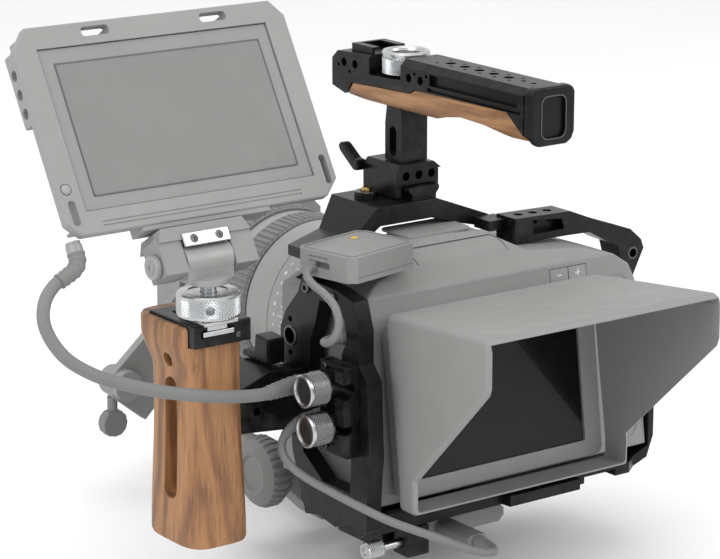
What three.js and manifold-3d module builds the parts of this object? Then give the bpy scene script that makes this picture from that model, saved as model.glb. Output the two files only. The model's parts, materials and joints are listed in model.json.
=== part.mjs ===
// Cinema camera rig: a camera with lens and folding-screen hood in a metal cage, with a top handle,
// a wooden side handle carrying a monitor, a wireless receiver, an SSD and its cables.
// Millimetres. +X is the operator's right, +Y is the way the lens looks, +Z is up.
// The origin is on the underside of the cage's base plate.
import * as THREE from 'three'
import { mergeVertices } from 'three/addons/utils/BufferGeometryUtils.js'
import Module from 'manifold-3d'

const wasm = await Module()
wasm.setup()

// ---------- driving dimensions ----------
const GAP = 0.3 // clearance between touching pieces
const AXIS_X = -14 // the lens axis and the top handle share this plane
const AXIS_Z = 74 // height of the lens axis
const SLANT = THREE.MathUtils.degToRad(7.55) // lean of the camera's rear face

const BODY = { left: -92, right: 94, bottom: 11.5, rear: 9, front: 92, wall: 3 }
const CAGE = { left: -105, inner: -95.8, base: 10, right: 84 }
const SCREEN = { width: 110.7, height: 62.3, bottom: 26, centre: -14, frameWidth: 134, frameHeight: 88 }
const HOOD = { width: 142, top: 122, reach: 82, wall: 2.4, flare: 0.067 }
const LENS = { radius: 47.5, mount: 96, front: 234, sides: 32 }
const HANDLE = { rear: -33, front: 135, width: 28, bottom: 203, top: 230 }
const STEM = { y: 87, width: 17, depth: 15, bottom: 172.3, top: 212 }
const CLAMP = { rear: 75, front: 105, bottom: 154.3, top: 172, left: -29, right: 1 }
const PIN = { x: -36.5, y: 92 }
const GRIP = { x: -167.6, y: 58, width: 36, depth: 47, height: 117 }
const MONITOR = { left: -71, right: 90.5, bottom: 20.5, top: 130, front: -4.3, depth: 22 }
const TILT = { x: -170, y: 47, z: 145, lean: THREE.MathUtils.degToRad(30.9) }
const RING = { x: -170, y: 42, radius: 16.5, bottom: 121.2, top: 133.5 }
const SSD = { x0: -72, x1: -2, y0: 14, y1: 66, z0: -14.4, z1: -4.4 }
const RODS = { z: -13, spacing: 60, radius: 7.5, rear: 82, front: 236 }

// ---------- solids ----------
// An outline extruded along one axis: its points are (y, z), (x, z) or (x, y), in that order.
const TURN = {
  x: new THREE.Matrix4().makeBasis(new THREE.Vector3(0, 1, 0), new THREE.Vector3(0, 0, 1), new THREE.Vector3(1, 0, 0)),
  y: new THREE.Matrix4().makeBasis(new THREE.Vector3(0, 0, 1), new THREE.Vector3(1, 0, 0), new THREE.Vector3(0, 1, 0)),
  z: new THREE.Matrix4(),
}

function extruded(axis, points, from, to) {
  const shape = new THREE.Shape(points.map(([a, b]) => (axis === 'y' ? new THREE.Vector2(b, a) : new THREE.Vector2(a, b))))
  const geometry = new THREE.ExtrudeGeometry(shape, { depth: to - from, bevelEnabled: false })
  geometry.translate(0, 0, from)
  return geometry.applyMatrix4(TURN[axis])
}

function box(x0, x1, y0, y1, z0, z1) {
  const geometry = new THREE.BoxGeometry(x1 - x0, y1 - y0, z1 - z0)
  return geometry.translate((x0 + x1) / 2, (y0 + y1) / 2, (z0 + z1) / 2)
}

// A closed round profile of (radius, height) points turned about an axis through a point.
function turned(axis, profile, centre, sides = 32) {
  const geometry = new THREE.LatheGeometry(profile.map(([r, h]) => new THREE.Vector2(r, h)), sides)
  if (axis === 'z') geometry.rotateX(Math.PI / 2)
  if (axis === 'x') geometry.rotateZ(-Math.PI / 2)
  return geometry.translate(...centre)
}

function cylinder(axis, radius, from, to, centre, sides = 20) {
  return turned(axis, [[0, from], [radius, from], [radius, to], [0, to]], centre, sides)
}

function tube(axis, inner, outer, from, to, centre, sides = 32) {
  const profile = [[inner, from], [outer, from], [outer, to], [inner, to], [inner, from]]
  return turned(axis, profile, centre, sides)
}

// The four points of a rectangle with its corners cut off at 45 degrees.
function chamfered(x0, x1, y0, y1, cut) {
  return [
    [x0 + cut, y0], [x1 - cut, y0], [x1, y0 + cut], [x1, y1 - cut],
    [x1 - cut, y1], [x0 + cut, y1], [x0, y1 - cut], [x0, y0 + cut],
  ]
}

function toManifold(geometry) {
  const bare = geometry.clone()
  bare.deleteAttribute('normal')
  bare.deleteAttribute('uv')
  const merged = mergeVertices(bare, 1e-4)
  const index = merged.index.array
  const position = merged.attributes.position
  const triangles = []
  for (let i = 0; i < index.length; i += 3) {
    const [a, b, c] = [index[i], index[i + 1], index[i + 2]]
    if (a !== b && b !== c && c !== a) triangles.push(a, b, c)
  }
  return new wasm.Manifold(new wasm.Mesh({
    numProp: 3,
    vertProperties: new Float32Array(position.array),
    triVerts: new Uint32Array(triangles),
  }))
}

function toGeometry(manifold) {
  const mesh = manifold.getMesh()
  const geometry = new THREE.BufferGeometry()
  geometry.setAttribute('position', new THREE.BufferAttribute(mesh.vertProperties, 3))
  geometry.setIndex(new THREE.BufferAttribute(mesh.triVerts, 1))
  geometry.computeVertexNormals()
  return geometry
}

function combine(geometries, step) {
  return toGeometry(geometries.map(toManifold).reduce((sum, next) => sum[step](next)))
}

const join = (...geometries) => combine(geometries, 'add')
const cut = (...geometries) => combine(geometries, 'subtract')
const common = (...geometries) => combine(geometries, 'intersect')

// Moves every corner of a solid by a rule, to taper or flare it.
function shaped(geometry, rule) {
  const position = geometry.attributes.position
  const point = new THREE.Vector3()
  for (let i = 0; i < position.count; i += 1) {
    point.fromBufferAttribute(position, i)
    rule(point)
    position.setXYZ(i, point.x, point.y, point.z)
  }
  return geometry
}

// ---------- materials and the scene graph ----------
const FINISH = {
  black: [0x17181a, 0.42, 0.75],
  silver: [0xb9bbbd, 0.3, 0.95],
  brass: [0xc9a55c, 0.3, 0.95],
  wood: [0x9a6434, 0.55, 0],
  pale: [0x9c9c9b, 0.6, 0],
  paleMetal: [0xb4b4b3, 0.4, 0.5],
  screen: [0x161617, 0.15, 0],
  glass: [0x8f979c, 0.05, 0],
  board: [0x2d5a3c, 0.6, 0],
  cell: [0x2b2c2f, 0.6, 0],
}

const rig = new THREE.Group()

function place(parent, name, finish, geometry) {
  const [color, roughness, metalness] = FINISH[finish]
  const mesh = new THREE.Mesh(geometry, new THREE.MeshStandardMaterial({ color, roughness, metalness }))
  mesh.name = name
  parent.add(mesh)
}

// ---------- camera ----------
function cameraBody() {
  const { left, right, bottom, rear, front, wall } = BODY
  const lean = Math.tan(SLANT)
  const side = [
    [rear, bottom], [front, bottom], [front, 112], [86, 128], [70, 139], [50, 138],
    [34, 130], [rear + 108 * lean, 119],
  ]
  const face = [
    [left, bottom], [right, bottom], [right, 103], [90, 112], [80, 118.6], [60, 124], [44, 125.4], [26, 127],
    [8, 137], [-34, 139], [-52, 131], [-76, 125], [left, 116],
  ]
  const hollow = side.map(([y, z]) => [y > 60 ? y - wall : y, z > 60 ? z - wall : z + wall])
  const hollowFace = face.map(([x, z]) => [x * (1 - wall / 90), z > 60 ? z - wall : z + wall])
  const rearOpening = [[rear - 2, bottom + wall], [rear + wall, bottom + wall], [rear + 17, 112], [rear + 12, 112]]
  const shell = cut(
    common(extruded('x', side, left, right), extruded('y', face, 0, 100)),
    common(
      extruded('x', hollow.map(([y, z]) => [y === rear || y < 24 ? y + wall : y, z]), left, right),
      extruded('y', hollowFace, 0, 100),
    ),
    extruded('x', rearOpening, left + wall, right - wall),
    cylinder('y', 30, 60, 110, [AXIS_X, 0, AXIS_Z], 32),
    box(34.2, 59.8, 10, 40, 108.8, 116.6),
    box(right - 10, right + 1, 30, 72, 30, 84),
    cylinder('z', 5.4, 112, 140, [66, 74, 0], 16),
  )
  place(rig, 'camera_body_shell', 'pale', shell)
}

function cameraInside() {
  place(rig, 'camera_rear_cover', 'pale', shaped(
    box(BODY.left + 3.6, BODY.right - 3.6, 0, 2.6, 14.9, 108.5),
    (p) => { p.y += 9.4 + (p.z - BODY.bottom) * Math.tan(SLANT) },
  ))
  place(rig, 'sensor_board', 'board', join(
    box(-70, 44, 58, 60, 20, 104),
    box(-32, 4, 59, 66, 61, 87),
  ))
  place(rig, 'camera_battery', 'cell', box(56, 84, 34, 74, 18, 86))
  place(rig, 'media_door', 'pale', box(BODY.right - 2.6, BODY.right - 0.2, 30.4, 71.6, 30.4, 83.6))
  place(rig, 'record_button', 'pale', cylinder('z', 5, 117.6, 124.4, [66, 74, 0], 16))
}

function rearButtons() {
  for (const [name, x] of [['nd_filter_down_button', 34.6], ['nd_filter_up_button', 47.2]]) {
    place(rig, name, 'pale', shaped(
      box(x, x + 12.2, 0, 4, 109.2, 116.2),
      (p) => { p.y += 21.6 + (p.z - 109.2) * Math.tan(SLANT) },
    ))
  }
}

// ---------- folding screen and hood, in a group leaning with the camera's rear ----------
function screenAndHood() {
  const assembly = new THREE.Group()
  assembly.position.set(SCREEN.centre, 0, SCREEN.bottom)
  assembly.rotation.x = -SLANT
  rig.add(assembly)
  const half = SCREEN.frameWidth / 2
  const glassHalf = SCREEN.width / 2
  const base = -9
  place(assembly, 'screen_frame', 'pale', cut(
    box(-half, half, -1.2, 7.6, base, base + SCREEN.frameHeight),
    box(-glassHalf, glassHalf, -3, 3, 0, SCREEN.height),
  ))
  place(assembly, 'screen_glass', 'screen', box(
    -glassHalf + GAP, glassHalf - GAP, 0, 2.6, GAP, SCREEN.height - GAP,
  ))
}

// The hood's side walls spread apart towards the operator.
function hood() {
  const { width, top, reach, wall, flare } = HOOD
  const left = SCREEN.centre - width / 2
  const right = SCREEN.centre + width / 2
  const spread = (outline, x0, x1) => shaped(extruded('x', outline, x0, x1), (p) => {
    p.x -= Math.sign(p.x - SCREEN.centre) * p.y * flare
  })
  const side = [[-2.5, 13], [-18, 14], [-17, 32], [-78, 91], [-reach, 96], [-reach, top - 4],
    [-reach + 3, top], [8, 114.5], [11, 110], [-1.4, 27]]
  const hollow = side.map(([y, z]) => [y - 3, z - wall])
  const mouth = [[-100, 15.4], [12, 15.4], [24, 108.6], [-60, 112], [-100, 116]]
  place(rig, 'screen_hood', 'pale', cut(
    spread(side, left, right), spread(hollow, left + wall, right - wall), spread(mouth, left + wall, right - wall),
  ))
}

// ---------- lens ----------
function lens() {
  const centre = [AXIS_X, 0, AXIS_Z]
  const r = LENS.radius
  const core = r - 5
  const barrel = [
    [26, LENS.mount], [33.5, LENS.mount], [34.5, 108], [41, 116], [r - 1, 126], [r, 134], [r, 172], [core, 172],
    [core, 190.6], [r, 190.6], [r, 199], [core, 199], [core, 217.6], [r + 1, 217.6], [r + 1, LENS.front],
    [r - 8, LENS.front], [r - 10, 150], [26, 110], [26, LENS.mount],
  ]
  place(rig, 'lens_barrel', 'pale', turned('y', barrel, centre, LENS.sides))
  place(rig, 'focus_ring', 'pale', tube('y', core + GAP, r + 1.5, 172.4, 190.2, centre, LENS.sides))
  place(rig, 'zoom_ring', 'pale', tube('y', core + GAP, r + 2.2, 199.4, 217.2, centre, LENS.sides))
  const curve = (radius, from, rise, thick) => [
    [0, from], [radius, from], [radius, from + thick], [radius * 0.7, from + thick + rise * 0.5],
    [radius * 0.35, from + thick + rise * 0.85], [0, from + thick + rise],
  ]
  place(rig, 'lens_front_element', 'glass', turned('y', curve(r - 10.5, 216, 5, 4), centre, 32))
}

// ---------- cage ----------
function cageLeft() {
  const outline = [
    [52, 0], [40.6, 2.3], [25, 0], [11.3, 6.6], [4, 0], [-2, 5], [-3.5, 32], [-5, 44], [-3, 84], [4, 92],
    [4, 109], [9, 124], [24, 127], [43, 128], [46, 132], [52.5, 132], [58, 119], [69, 107], [74, 97],
    [74, 79.6], [67, 66], [64.5, 47], [64, 33],
  ]
  const window = [
    [54, 34], [36, 22], [12, 22], [11, 45], [18.5, 86], [19.5, 94], [14.5, 103], [17, 113],
    [25, 118.5], [38, 119], [42, 107], [47, 95], [47, 81], [52, 66],
  ]
  const holes = [[65, 103, 1.6], [65, 94, 4.2], [65, 85, 1.6], [50, 123, 2], [27, 122.6, 2]].map(
    ([y, z, r]) => cylinder('x', r, CAGE.left - 1, CAGE.inner + 1, [0, y, z], 12),
  )
  const rail = extruded('z', [
    [-104, 56], [-106.8, 56], [-109.3, 54], [-111.3, 54], [-111.3, 76], [-109.3, 76], [-106.8, 74], [-104, 74],
  ], 44, 76)
  place(rig, 'cage_left_frame', 'black', join(rail, cut(
    extruded('x', outline, CAGE.left, CAGE.inner), extruded('x', window, CAGE.left - 1, CAGE.inner + 1), ...holes,
  )))
}

function cageBase() {
  const plate = extruded('z', [
    [CAGE.inner + GAP, 2], [-13, 2], [-12, -4], [36, -4], [37, 2], [CAGE.right - 8, 2], [CAGE.right, 8], [CAGE.right, 66], [CAGE.right - 12, 78],
    [-86, 78], [CAGE.inner + GAP, 70],
  ], 0, 6)
  const lip = box(CAGE.inner + GAP, 70, 2, 7, 5, CAGE.base)
  const frontLip = box(-60, 40, 73, 78, 5, CAGE.base)
  const rightFoot = extruded('y', [[83, 0], [94, 4], [98.4, 16], [98.4, 34], [94.6, 38], [94.6, 10.6], [83, 6]], 8, 30)
  place(rig, 'cage_base_plate', 'black', cut(
    join(plate, lip, frontLip, rightFoot),
    box(44, 66, -1, 10, -1, 4),
    extruded('z', chamfered(-10, 50, 24, 58, 6), -1, 12),
    cylinder('x', 2, 90, 100, [0, 19, 26], 12),
  ))
}

function cageTop() {
  const bridge = [
    [-95.2, 132.4], [-62, 132.4], [-46, 143.5], [-12, 143.5], [8, 137.6], [20, 134.6], [27, 134.6], [27, 140],
    [-8, 153.6], [-48, 153.6], [-64, 139], [-95.2, 138],
  ]
  const arm = [
    [27.4, 127.4], [64, 127], [80, 126.5], [93, 119.4], [101, 116], [107, 96], [112, 96], [120, 112],
    [118, 117], [110, 124], [83, 133.5], [66, 140.4], [27.4, 141.4],
  ]
  const rail = extruded('y', [
    [-22, 152], [-6, 152], [-6, 155.5], [-4, 158], [-4, 160], [-24, 160], [-24, 158], [-22, 155.5],
  ], 70, 112)
  const boss = cylinder('z', 6.5, 150, 156, [PIN.x, PIN.y, 0], 20)
  // Seen from above, the bridge narrows towards its left foot.
  const span = shaped(extruded('y', bridge, 66, 108), (p) => {
    if (p.x < -48 && p.y > 100) p.y -= 27 * Math.min(1, (-48 - p.x) / 40)
  })
  place(rig, 'cage_top_bridge', 'black', cut(
    join(span, rail, boss),
    box(-40, -16, 80, 96, 140, 148),
    cylinder('z', 2.4, 149, 160, [PIN.x, PIN.y, 0], 16),
  ))
  const holes = [36, 46, 56].map((x) => cylinder('z', 2.6, 135, 148, [x, 52, 0], 12))
  const link = box(16.4, 30, 52, 65.6, 134.4, 140)
  place(rig, 'cage_top_arm', 'black', cut(
    join(extruded('y', arm, 44, 60), link),
    extruded('y', [[40, 131], [62, 131], [60, 137], [40, 139]], 43, 50),
    cylinder('y', 2.4, 40, 64, [112, 0, 110], 12),
    ...holes,
  ))
}

// ---------- top handle ----------
function topHandle() {
  const { rear, front, width, bottom, top } = HANDLE
  const x0 = AXIS_X - width / 2
  const x1 = AXIS_X + width / 2
  const side = [
    [front, 207], [front, 222], [front - 5, 226.5], [101, 228], [101, 217.5], [73.2, 218.5], [73.2, top],
    [rear + 4, top], [rear + 4, 206], [-15, 216.5], [61, 215.6], [66, 213], [117, 211], [123, 204],
  ]
  const body = common(
    extruded('x', side, x0, x1),
    extruded('y', chamfered(x0, x1, 190, top, 3.5), rear - 10, front + 10),
  )
  const sideHoles = [124, 114, 66, 56].map((y) => cylinder('x', 2.4, x0 - 1, x1 + 1, [0, y, 221], 12))
  const topHoles = [48, 36, 24, 12, 0].map((y) => cylinder('z', 2.8, 226, 234, [AXIS_X, y, 0], 12))
  const shoe = cut(
    box(AXIS_X - 10.8, AXIS_X + 10.8, 102.4, 121, 225, 231.6),
    box(AXIS_X - 9.3, AXIS_X + 9.3, 102, 118.6, 227.9, 230.1),
    box(AXIS_X - 6.2, AXIS_X + 6.2, 102, 118.6, 230, 235),
  )
  place(rig, 'top_handle_frame', 'black', cut(
    join(body, shoe), ...sideHoles, ...topHoles,
    box(x0 - 1, x0 + 2.5, -24, 48, 219.6, 225.4),
    cylinder('z', 5.2, 200, 240, [AXIS_X, STEM.y, 0], 20),
    box(AXIS_X - STEM.width / 2 - GAP, AXIS_X + STEM.width / 2 + GAP, STEM.y - 8.3, STEM.y + 7.3, 200, 212.3),
  ))
  const wood = [
    [116.5, 210.6], [66, 212.7], [61, 215.2], [-14.8, 216.1], [-28.6, 205.6], [-32, 203.5], [-17, 203],
    [3, 206.2], [23, 207], [38, 204.5], [46, 202.2], [66, 201.6], [89, 201.9], [109, 202], [122, 203.6],
  ]
  place(rig, 'top_handle_wood', 'wood', cut(
    extruded('x', wood, x0 + 0.6, x1 - 0.6),
    box(AXIS_X - STEM.width / 2 - GAP, AXIS_X + STEM.width / 2 + GAP, STEM.y - 8.3, STEM.y + 7.3, 200, 216),
  ))
  place(rig, 'top_handle_end_cap', 'black', cut(
    extruded('y', chamfered(x0, x1, 200.6, 231, 5), rear - 3, rear + 3.7),
    box(x0 + 6, x1 - 6, rear - 5, rear - 1.5, 204, 226),
    box(x0 - 1, x1 + 1, rear, rear + 5, 199, 206.2),
  ))
  place(rig, 'top_handle_lock_wheel', 'silver', turned('z', [
    [5.4, 219.2], [13, 219.2], [13, 230.6], [11.5, 231.6], [9.5, 231.6], [8.5, 229], [5.4, 229], [5.4, 219.2],
  ], [AXIS_X, STEM.y, 0], 28))
  place(rig, 'top_handle_stem', 'black', cut(
    join(
      extruded('x', [
        [STEM.y - 8, STEM.bottom], [STEM.y + 7, STEM.bottom], [STEM.y + 7, 192],
        [STEM.y + 4, STEM.top], [STEM.y - 4, STEM.top], [STEM.y - 8, 196],
      ], AXIS_X - STEM.width / 2, AXIS_X + STEM.width / 2),
      cylinder('z', 4.9, 205, 230, [AXIS_X, STEM.y, 0], 20),
    ),
    extruded('x', chamfered(STEM.y - 3, STEM.y + 3, 175, 191, 2), AXIS_X - 20, AXIS_X + 20),
  ))
}

function handleClamp() {
  const { rear, front, bottom, top, left, right } = CLAMP
  const holes = [-22.5, AXIS_X, -5.5].map((x) => cylinder('y', 2.4, rear - 1, rear + 8, [x, 0, 165.6], 12))
  place(rig, 'handle_clamp_body', 'black', cut(
    extruded('y', [
      [left, bottom], [-25.4, bottom], [-25.4, 160.6], [-2.6, 160.6], [-2.6, 168], [right, 168], [right - 5, top], [left + 3, top],
      [left, top - 3],
    ], rear, front),
    ...holes,
  ))
  place(rig, 'handle_clamp_jaw', 'black', extruded('y', [
    [-2.3, 154.4], [right, 154.4], [right, 167.6], [-2.3, 167.6],
  ], rear + 2, front - 2))
  const lever = [[0, -3], [4, -3.4], [16, 5], [18, 8], [16, 10.4], [13, 9.6], [3, 3], [0, 3]]
  place(rig, 'handle_clamp_lever', 'black', extruded('x',
    lever.map(([y, z]) => [front - 3 + y, 168.6 + z]), left - 6.3, left - GAP))
  place(rig, 'handle_safety_pin', 'brass', turned('z', [
    [0, 150.6], [2.1, 150.6], [2.1, 156.4], [2.8, 156.4], [2.8, 158.8], [0, 158.8],
  ], [PIN.x, PIN.y, 0], 16))
}

// ---------- side handle and its clamp ----------
function sideHandle() {
  const { x, y, width, depth, height } = GRIP
  const corner = 9
  const section = chamfered(-width / 2, width / 2, -depth / 2, depth / 2, corner)
  const shape = new THREE.Shape(section.map(([a, b]) => new THREE.Vector2(a, b)))
  const grip = new THREE.ExtrudeGeometry(shape, { depth: height, steps: 12, bevelEnabled: false })
  shaped(grip, (p) => {
    const up = p.z / height
    const flare = Math.min(1, Math.max(0, (up - 0.76) * 6))
    const waist = 1 + 0.05 * Math.cos(Math.PI * Math.min(1, up * 1.6)) - 0.01
    p.x = x + p.x * waist - (p.x < 0 ? 3.5 * flare : 0)
    p.y = y + p.y * waist + (p.y > 0 ? 5.5 * flare : 0)
  })
  place(rig, 'side_handle_grip', 'wood', cut(
    grip,
    box(x - width, x - width / 2 + 7.5, y - 8, y + 3, 24, 88),
    box(x - 17, x + 20, 30, 76, 106.5, 125),
    cylinder('z', 4.4, -1, 110, [x, y, 0], 16),
  ))
  place(rig, 'side_handle_bolt', 'silver', join(
    cylinder('z', 4, 2, 106, [x, y, 0], 16), cylinder('z', 4, -0.5, 3, [x, y, 0], 16),
  ))
  place(rig, 'side_handle_top_cap', 'black', cut(
    box(x - 16.6, x + 17.2, 33.4, 75.6, 106.9, 118.4),
    box(-179.6, -160.4, 29, 66, 112, 115.8),
    box(-176.4, -163.6, 29, 66, 115.4, 120),
  ))
}

function sideClamp() {
  place(rig, 'side_clamp_body', 'black', cut(
    extruded('y', [[-149.2, 52], [-106.4, 48], [-106.4, 80], [-128, 82], [-149.2, 74]], 50, 80),
    box(-112, -100, 53.4, 82, 40, 90),
    cylinder('y', 2.4, 40, 56, [-136, 0, 62], 12),
  ))
  place(rig, 'side_clamp_lever', 'black', extruded('x', [
    [58, 82.5], [82, 82.5], [82, 86], [71, 87.5], [70, 97], [58, 96],
  ], -124, -113))
}

// ---------- cable clamp on the cage's left plate ----------
function cableClamp() {
  place(rig, 'cable_clamp_body', 'black', cut(
    join(
      box(-113, CAGE.left - GAP, 4, 27, 44, 92),
      box(-116, -112, 2, 10, 47, 90),
    ),
    cylinder('y', 4.1, 0, 40, [-111.5, 0, 80], 16),
    cylinder('y', 2.3, 0, 40, [-111.5, 0, 59.5], 16),
    box(-118, -111.5, 0, 40, 75.9, 84.1),
    box(-118, -111.5, 0, 40, 57.2, 61.8),
  ))
  for (const [name, y, z] of [['cable_clamp_knob_upper', 17, 80], ['cable_clamp_knob_lower', 15, 59.5]]) {
    place(rig, name, 'silver', turned('x', [
      [0, -131], [7, -131], [8.6, -129.6], [8.6, -117.4], [4, -117.4], [4, -116.4], [0, -116.4],
    ], [0, y, z], 24))
  }
}

// ---------- monitor, its mount and its screen ----------
function monitorMount() {
  const { x, y } = RING
  place(rig, 'monitor_mount_foot', 'silver', join(
    box(-179.2, -160.8, y - 9.4, y + 9.4, 112.4, 115.2),
    box(-176, -164, y - 8, y + 8, 115, 118.6),
    box(-180, -160, y - 12, y + 12, 118.5, 120.8),
    cylinder('z', 4, 120, 137.6, [x, y, 0], 20),
  ))
  place(rig, 'monitor_mount_ring', 'silver', tube('z', 4.4, RING.radius, RING.bottom, RING.top, [x, y, 0], 32))
  place(rig, 'monitor_swivel_head', 'pale', join(
    cylinder('z', 11, 138, 141, [x, y, 0], 20).translate(0, 0, -0.1),
    cylinder('x', 8.8, -183.5, -156.5, [0, TILT.y, TILT.z + 3.4], 20),
    box(-183.5, -156.5, TILT.y - 8, TILT.y + 8, 139, 147),
    cylinder('x', 3.2, -198, -180, [0, TILT.y, TILT.z + 3.4], 16),
    cylinder('x', 6, -200.4, -197.4, [0, TILT.y, TILT.z + 3.4], 16),
  ))
}

function monitor() {
  const head = new THREE.Group()
  head.position.set(TILT.x, TILT.y, TILT.z + 3.4)
  head.rotation.x = -TILT.lean
  rig.add(head)
  const { left, right, bottom, top, front, depth } = MONITOR
  place(head, 'monitor_tilt_bracket', 'paleMetal', cut(
    join(
      box(-27, -14, -8, 8, -7, 12),
      box(14, 27, -8, 8, -7, 12),
      extruded('y', [[-27, 9.6], [27, 9.6], [24, 16.5], [-24, 16.5]], -9, 12),
    ),
    cylinder('x', 3.6, -30, -12, [0, 0, 0], 16),
  ))
  const outline = [
    [left + 7, bottom], [right - 9, bottom], [right, bottom + 9], [right, top - 9], [right - 7, top], [left + 9, top],
    [left, top - 11], [left, bottom + 7],
  ]
  const slot = (x0, x1, z0, z1) => extruded('y', chamfered(x0, x1, z0, z1, 1.8), front - 1, front + 16)
  const sideHoles = [0, 1, 2].map((i) => (
    cylinder('x', 2.8, left - 1, left + 2.6, [0, front + 7, top - 22 - i * 10], 12)
  ))
  place(head, 'monitor_cage', 'pale', cut(
    join(
      extruded('y', outline, front, front + 5.5),
      box(left, left + 9, front + 1, front + 12, top - 49, top - 11),
      box(left + 6, right - 6, front + 1, front + 14, bottom + 4, top - 4),
      box(-30, 46, front + 0.8, front + 14, bottom - 2.4, bottom + 6),
    ),
    box(left + 12.5, right - 13, front - 1, front + 20, bottom + 12, top - 12),
    slot(-31, -15, 122, 127),
    slot(39, 55, 122, 127),
    slot(83, 87, 27, 43),
    slot(left + 4, left + 8.4, 26, 39),
    ...sideHoles,
    cylinder('y', 3, front - 1, front + 3.4, [left + 5.4, 0, 45], 12),
  ))
  place(head, 'monitor_body', 'pale', cut(
    box(left + 12.8, right - 13.3, front + 1, front + depth, bottom + 12.3, top - 12.3),
    box(left + 20, right - 20, front - 1, front + 1.6, 39.5, 110),
  ))
  place(head, 'monitor_power_button', 'paleMetal', cylinder('y', 2.6, front - 0.6, front + 2, [left + 5.4, 0, 45], 12))
  place(head, 'monitor_cable_plug', 'pale', cylinder('z', 4.2, 12.4, bottom - GAP, [left + 4.6, front + 7.6, 0], 12))
}

// ---------- receiver, SSD and its clamp ----------
// It stands turned a little, with its near corner over the frame.
function receiver() {
  place(rig, 'wireless_receiver', 'pale', cut(
    extruded('z', chamfered(0, 50, 0, 40, 4), 132, 145.5),
    box(-2, 4, 16, 26, 137, 140),
  ).rotateZ(0.21).translate(-103, 12, 0))
}

function ssd() {
  const { x0, x1, y0, y1, z0, z1 } = SSD
  place(rig, 'ssd_drive', 'pale', extruded('y', chamfered(x0, x1, z0, z1, 3), y0, y1))
  place(rig, 'ssd_bracket', 'black', cut(
    join(
      box(x0 - 8, x0 - GAP, y0 + 4, y1 - 8, z0 - 2, -GAP),
      box(x0 - 8, x1 - 6, y0 + 4, y1 - 8, z1 + GAP, -GAP),
      box(x0 - 4, x0 + 10, y0 - 13, y0 + 5, -3.4, -GAP),
      box(x0 - 4, x0 + 10, y0 - 13, y0 - GAP, z0 - 2, -2),
    ),
    cylinder('x', 2.6, x0 - 10, x0 + 12, [0, y0 - 6.5, -9.4], 16),
  ))
  place(rig, 'ssd_thumbscrew', 'silver', turned('x', [
    [0, -99], [4.7, -99], [4.7, -88.5], [2.3, -88.5], [2.3, x0 + 9], [0, x0 + 9],
  ], [0, y0 - 6.5, -9.4], 20))
  place(rig, 'ssd_cable_plug', 'pale', extruded('y', chamfered(-48.5, -36.5, -12.4, -5.6, 1.6), -14.6, y0 - GAP))
}

// ---------- rods, follow focus and matte box ----------
function frontSupport() {
  const { z, spacing, radius, rear, front } = RODS
  const offsets = [AXIS_X - spacing / 2, AXIS_X + spacing / 2]
  const rods = offsets.map((x) => cylinder('y', radius, rear, front, [x, 0, z], 20))
  place(rig, 'support_rods', 'paleMetal', join(box(AXIS_X - 44, AXIS_X + 44, 78.3, 96, z - 11, 5), ...rods))
  place(rig, 'follow_focus_body', 'pale', cut(
    extruded('y', [[-78, -8], [-56, -30], [-34, -26], [-34, -2], [-58, 2], [-78, 12]], 106, 128),
    cylinder('y', radius + GAP, 100, 134, [offsets[0], 0, z], 24),
  ))
  place(rig, 'follow_focus_wheel', 'pale', turned('x', [
    [0, -96], [12, -96], [19, -93], [20, -84], [16, -78.4], [0, -78.4],
  ], [0, 117, 2], 28))
  const frame = chamfered(AXIS_X - 50, AXIS_X + 50, 20, 126, 16)
  const inside = chamfered(AXIS_X - 44, AXIS_X + 44, 26, 120, 13)
  const arm = [[-63, 74], [-88, 49], [-110, 30], [-110, 18], [-88, 0], [-63, 24]]
  place(rig, 'matte_box', 'pale', cut(
    join(
      extruded('y', frame, 237, 262),
      extruded('y', arm, 238, 244),
      box(AXIS_X - 40, AXIS_X + 40, 238, 250, z - 10, 24),
      cylinder('y', 9, 232, 252, [-102, 0, 24], 20),
    ),
    extruded('y', inside, 240.5, 270),
    cylinder('y', 42, 230, 245, [AXIS_X, 0, AXIS_Z], 40),
    box(AXIS_X - 18, AXIS_X + 18, 230, 256, z - 12, 2),
  ))
  place(rig, 'matte_box_lock_knob', 'pale', join(
    cylinder('z', 3, 2, 14.6, [-104, 248.4, 0], 12),
    box(-114, -94, 244.6, 252, -9, 3),
  ))
}

// ---------- cords ----------
// A plain tube along a smooth curve through the points of its route.
function cord(name, diameter, route, steps, sides = 8) {
  const curve = new THREE.CatmullRomCurve3(route.map((point) => new THREE.Vector3(...point)), false, 'centripetal')
  const section = new THREE.Shape(Array.from({ length: sides }, (_, i) => {
    const angle = (2 * Math.PI * i) / sides
    return new THREE.Vector2(Math.cos(angle) * diameter / 2, Math.sin(angle) * diameter / 2)
  }))
  place(rig, name, 'pale', new THREE.ExtrudeGeometry(section, { steps, extrudePath: curve, bevelEnabled: false }))
}

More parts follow.
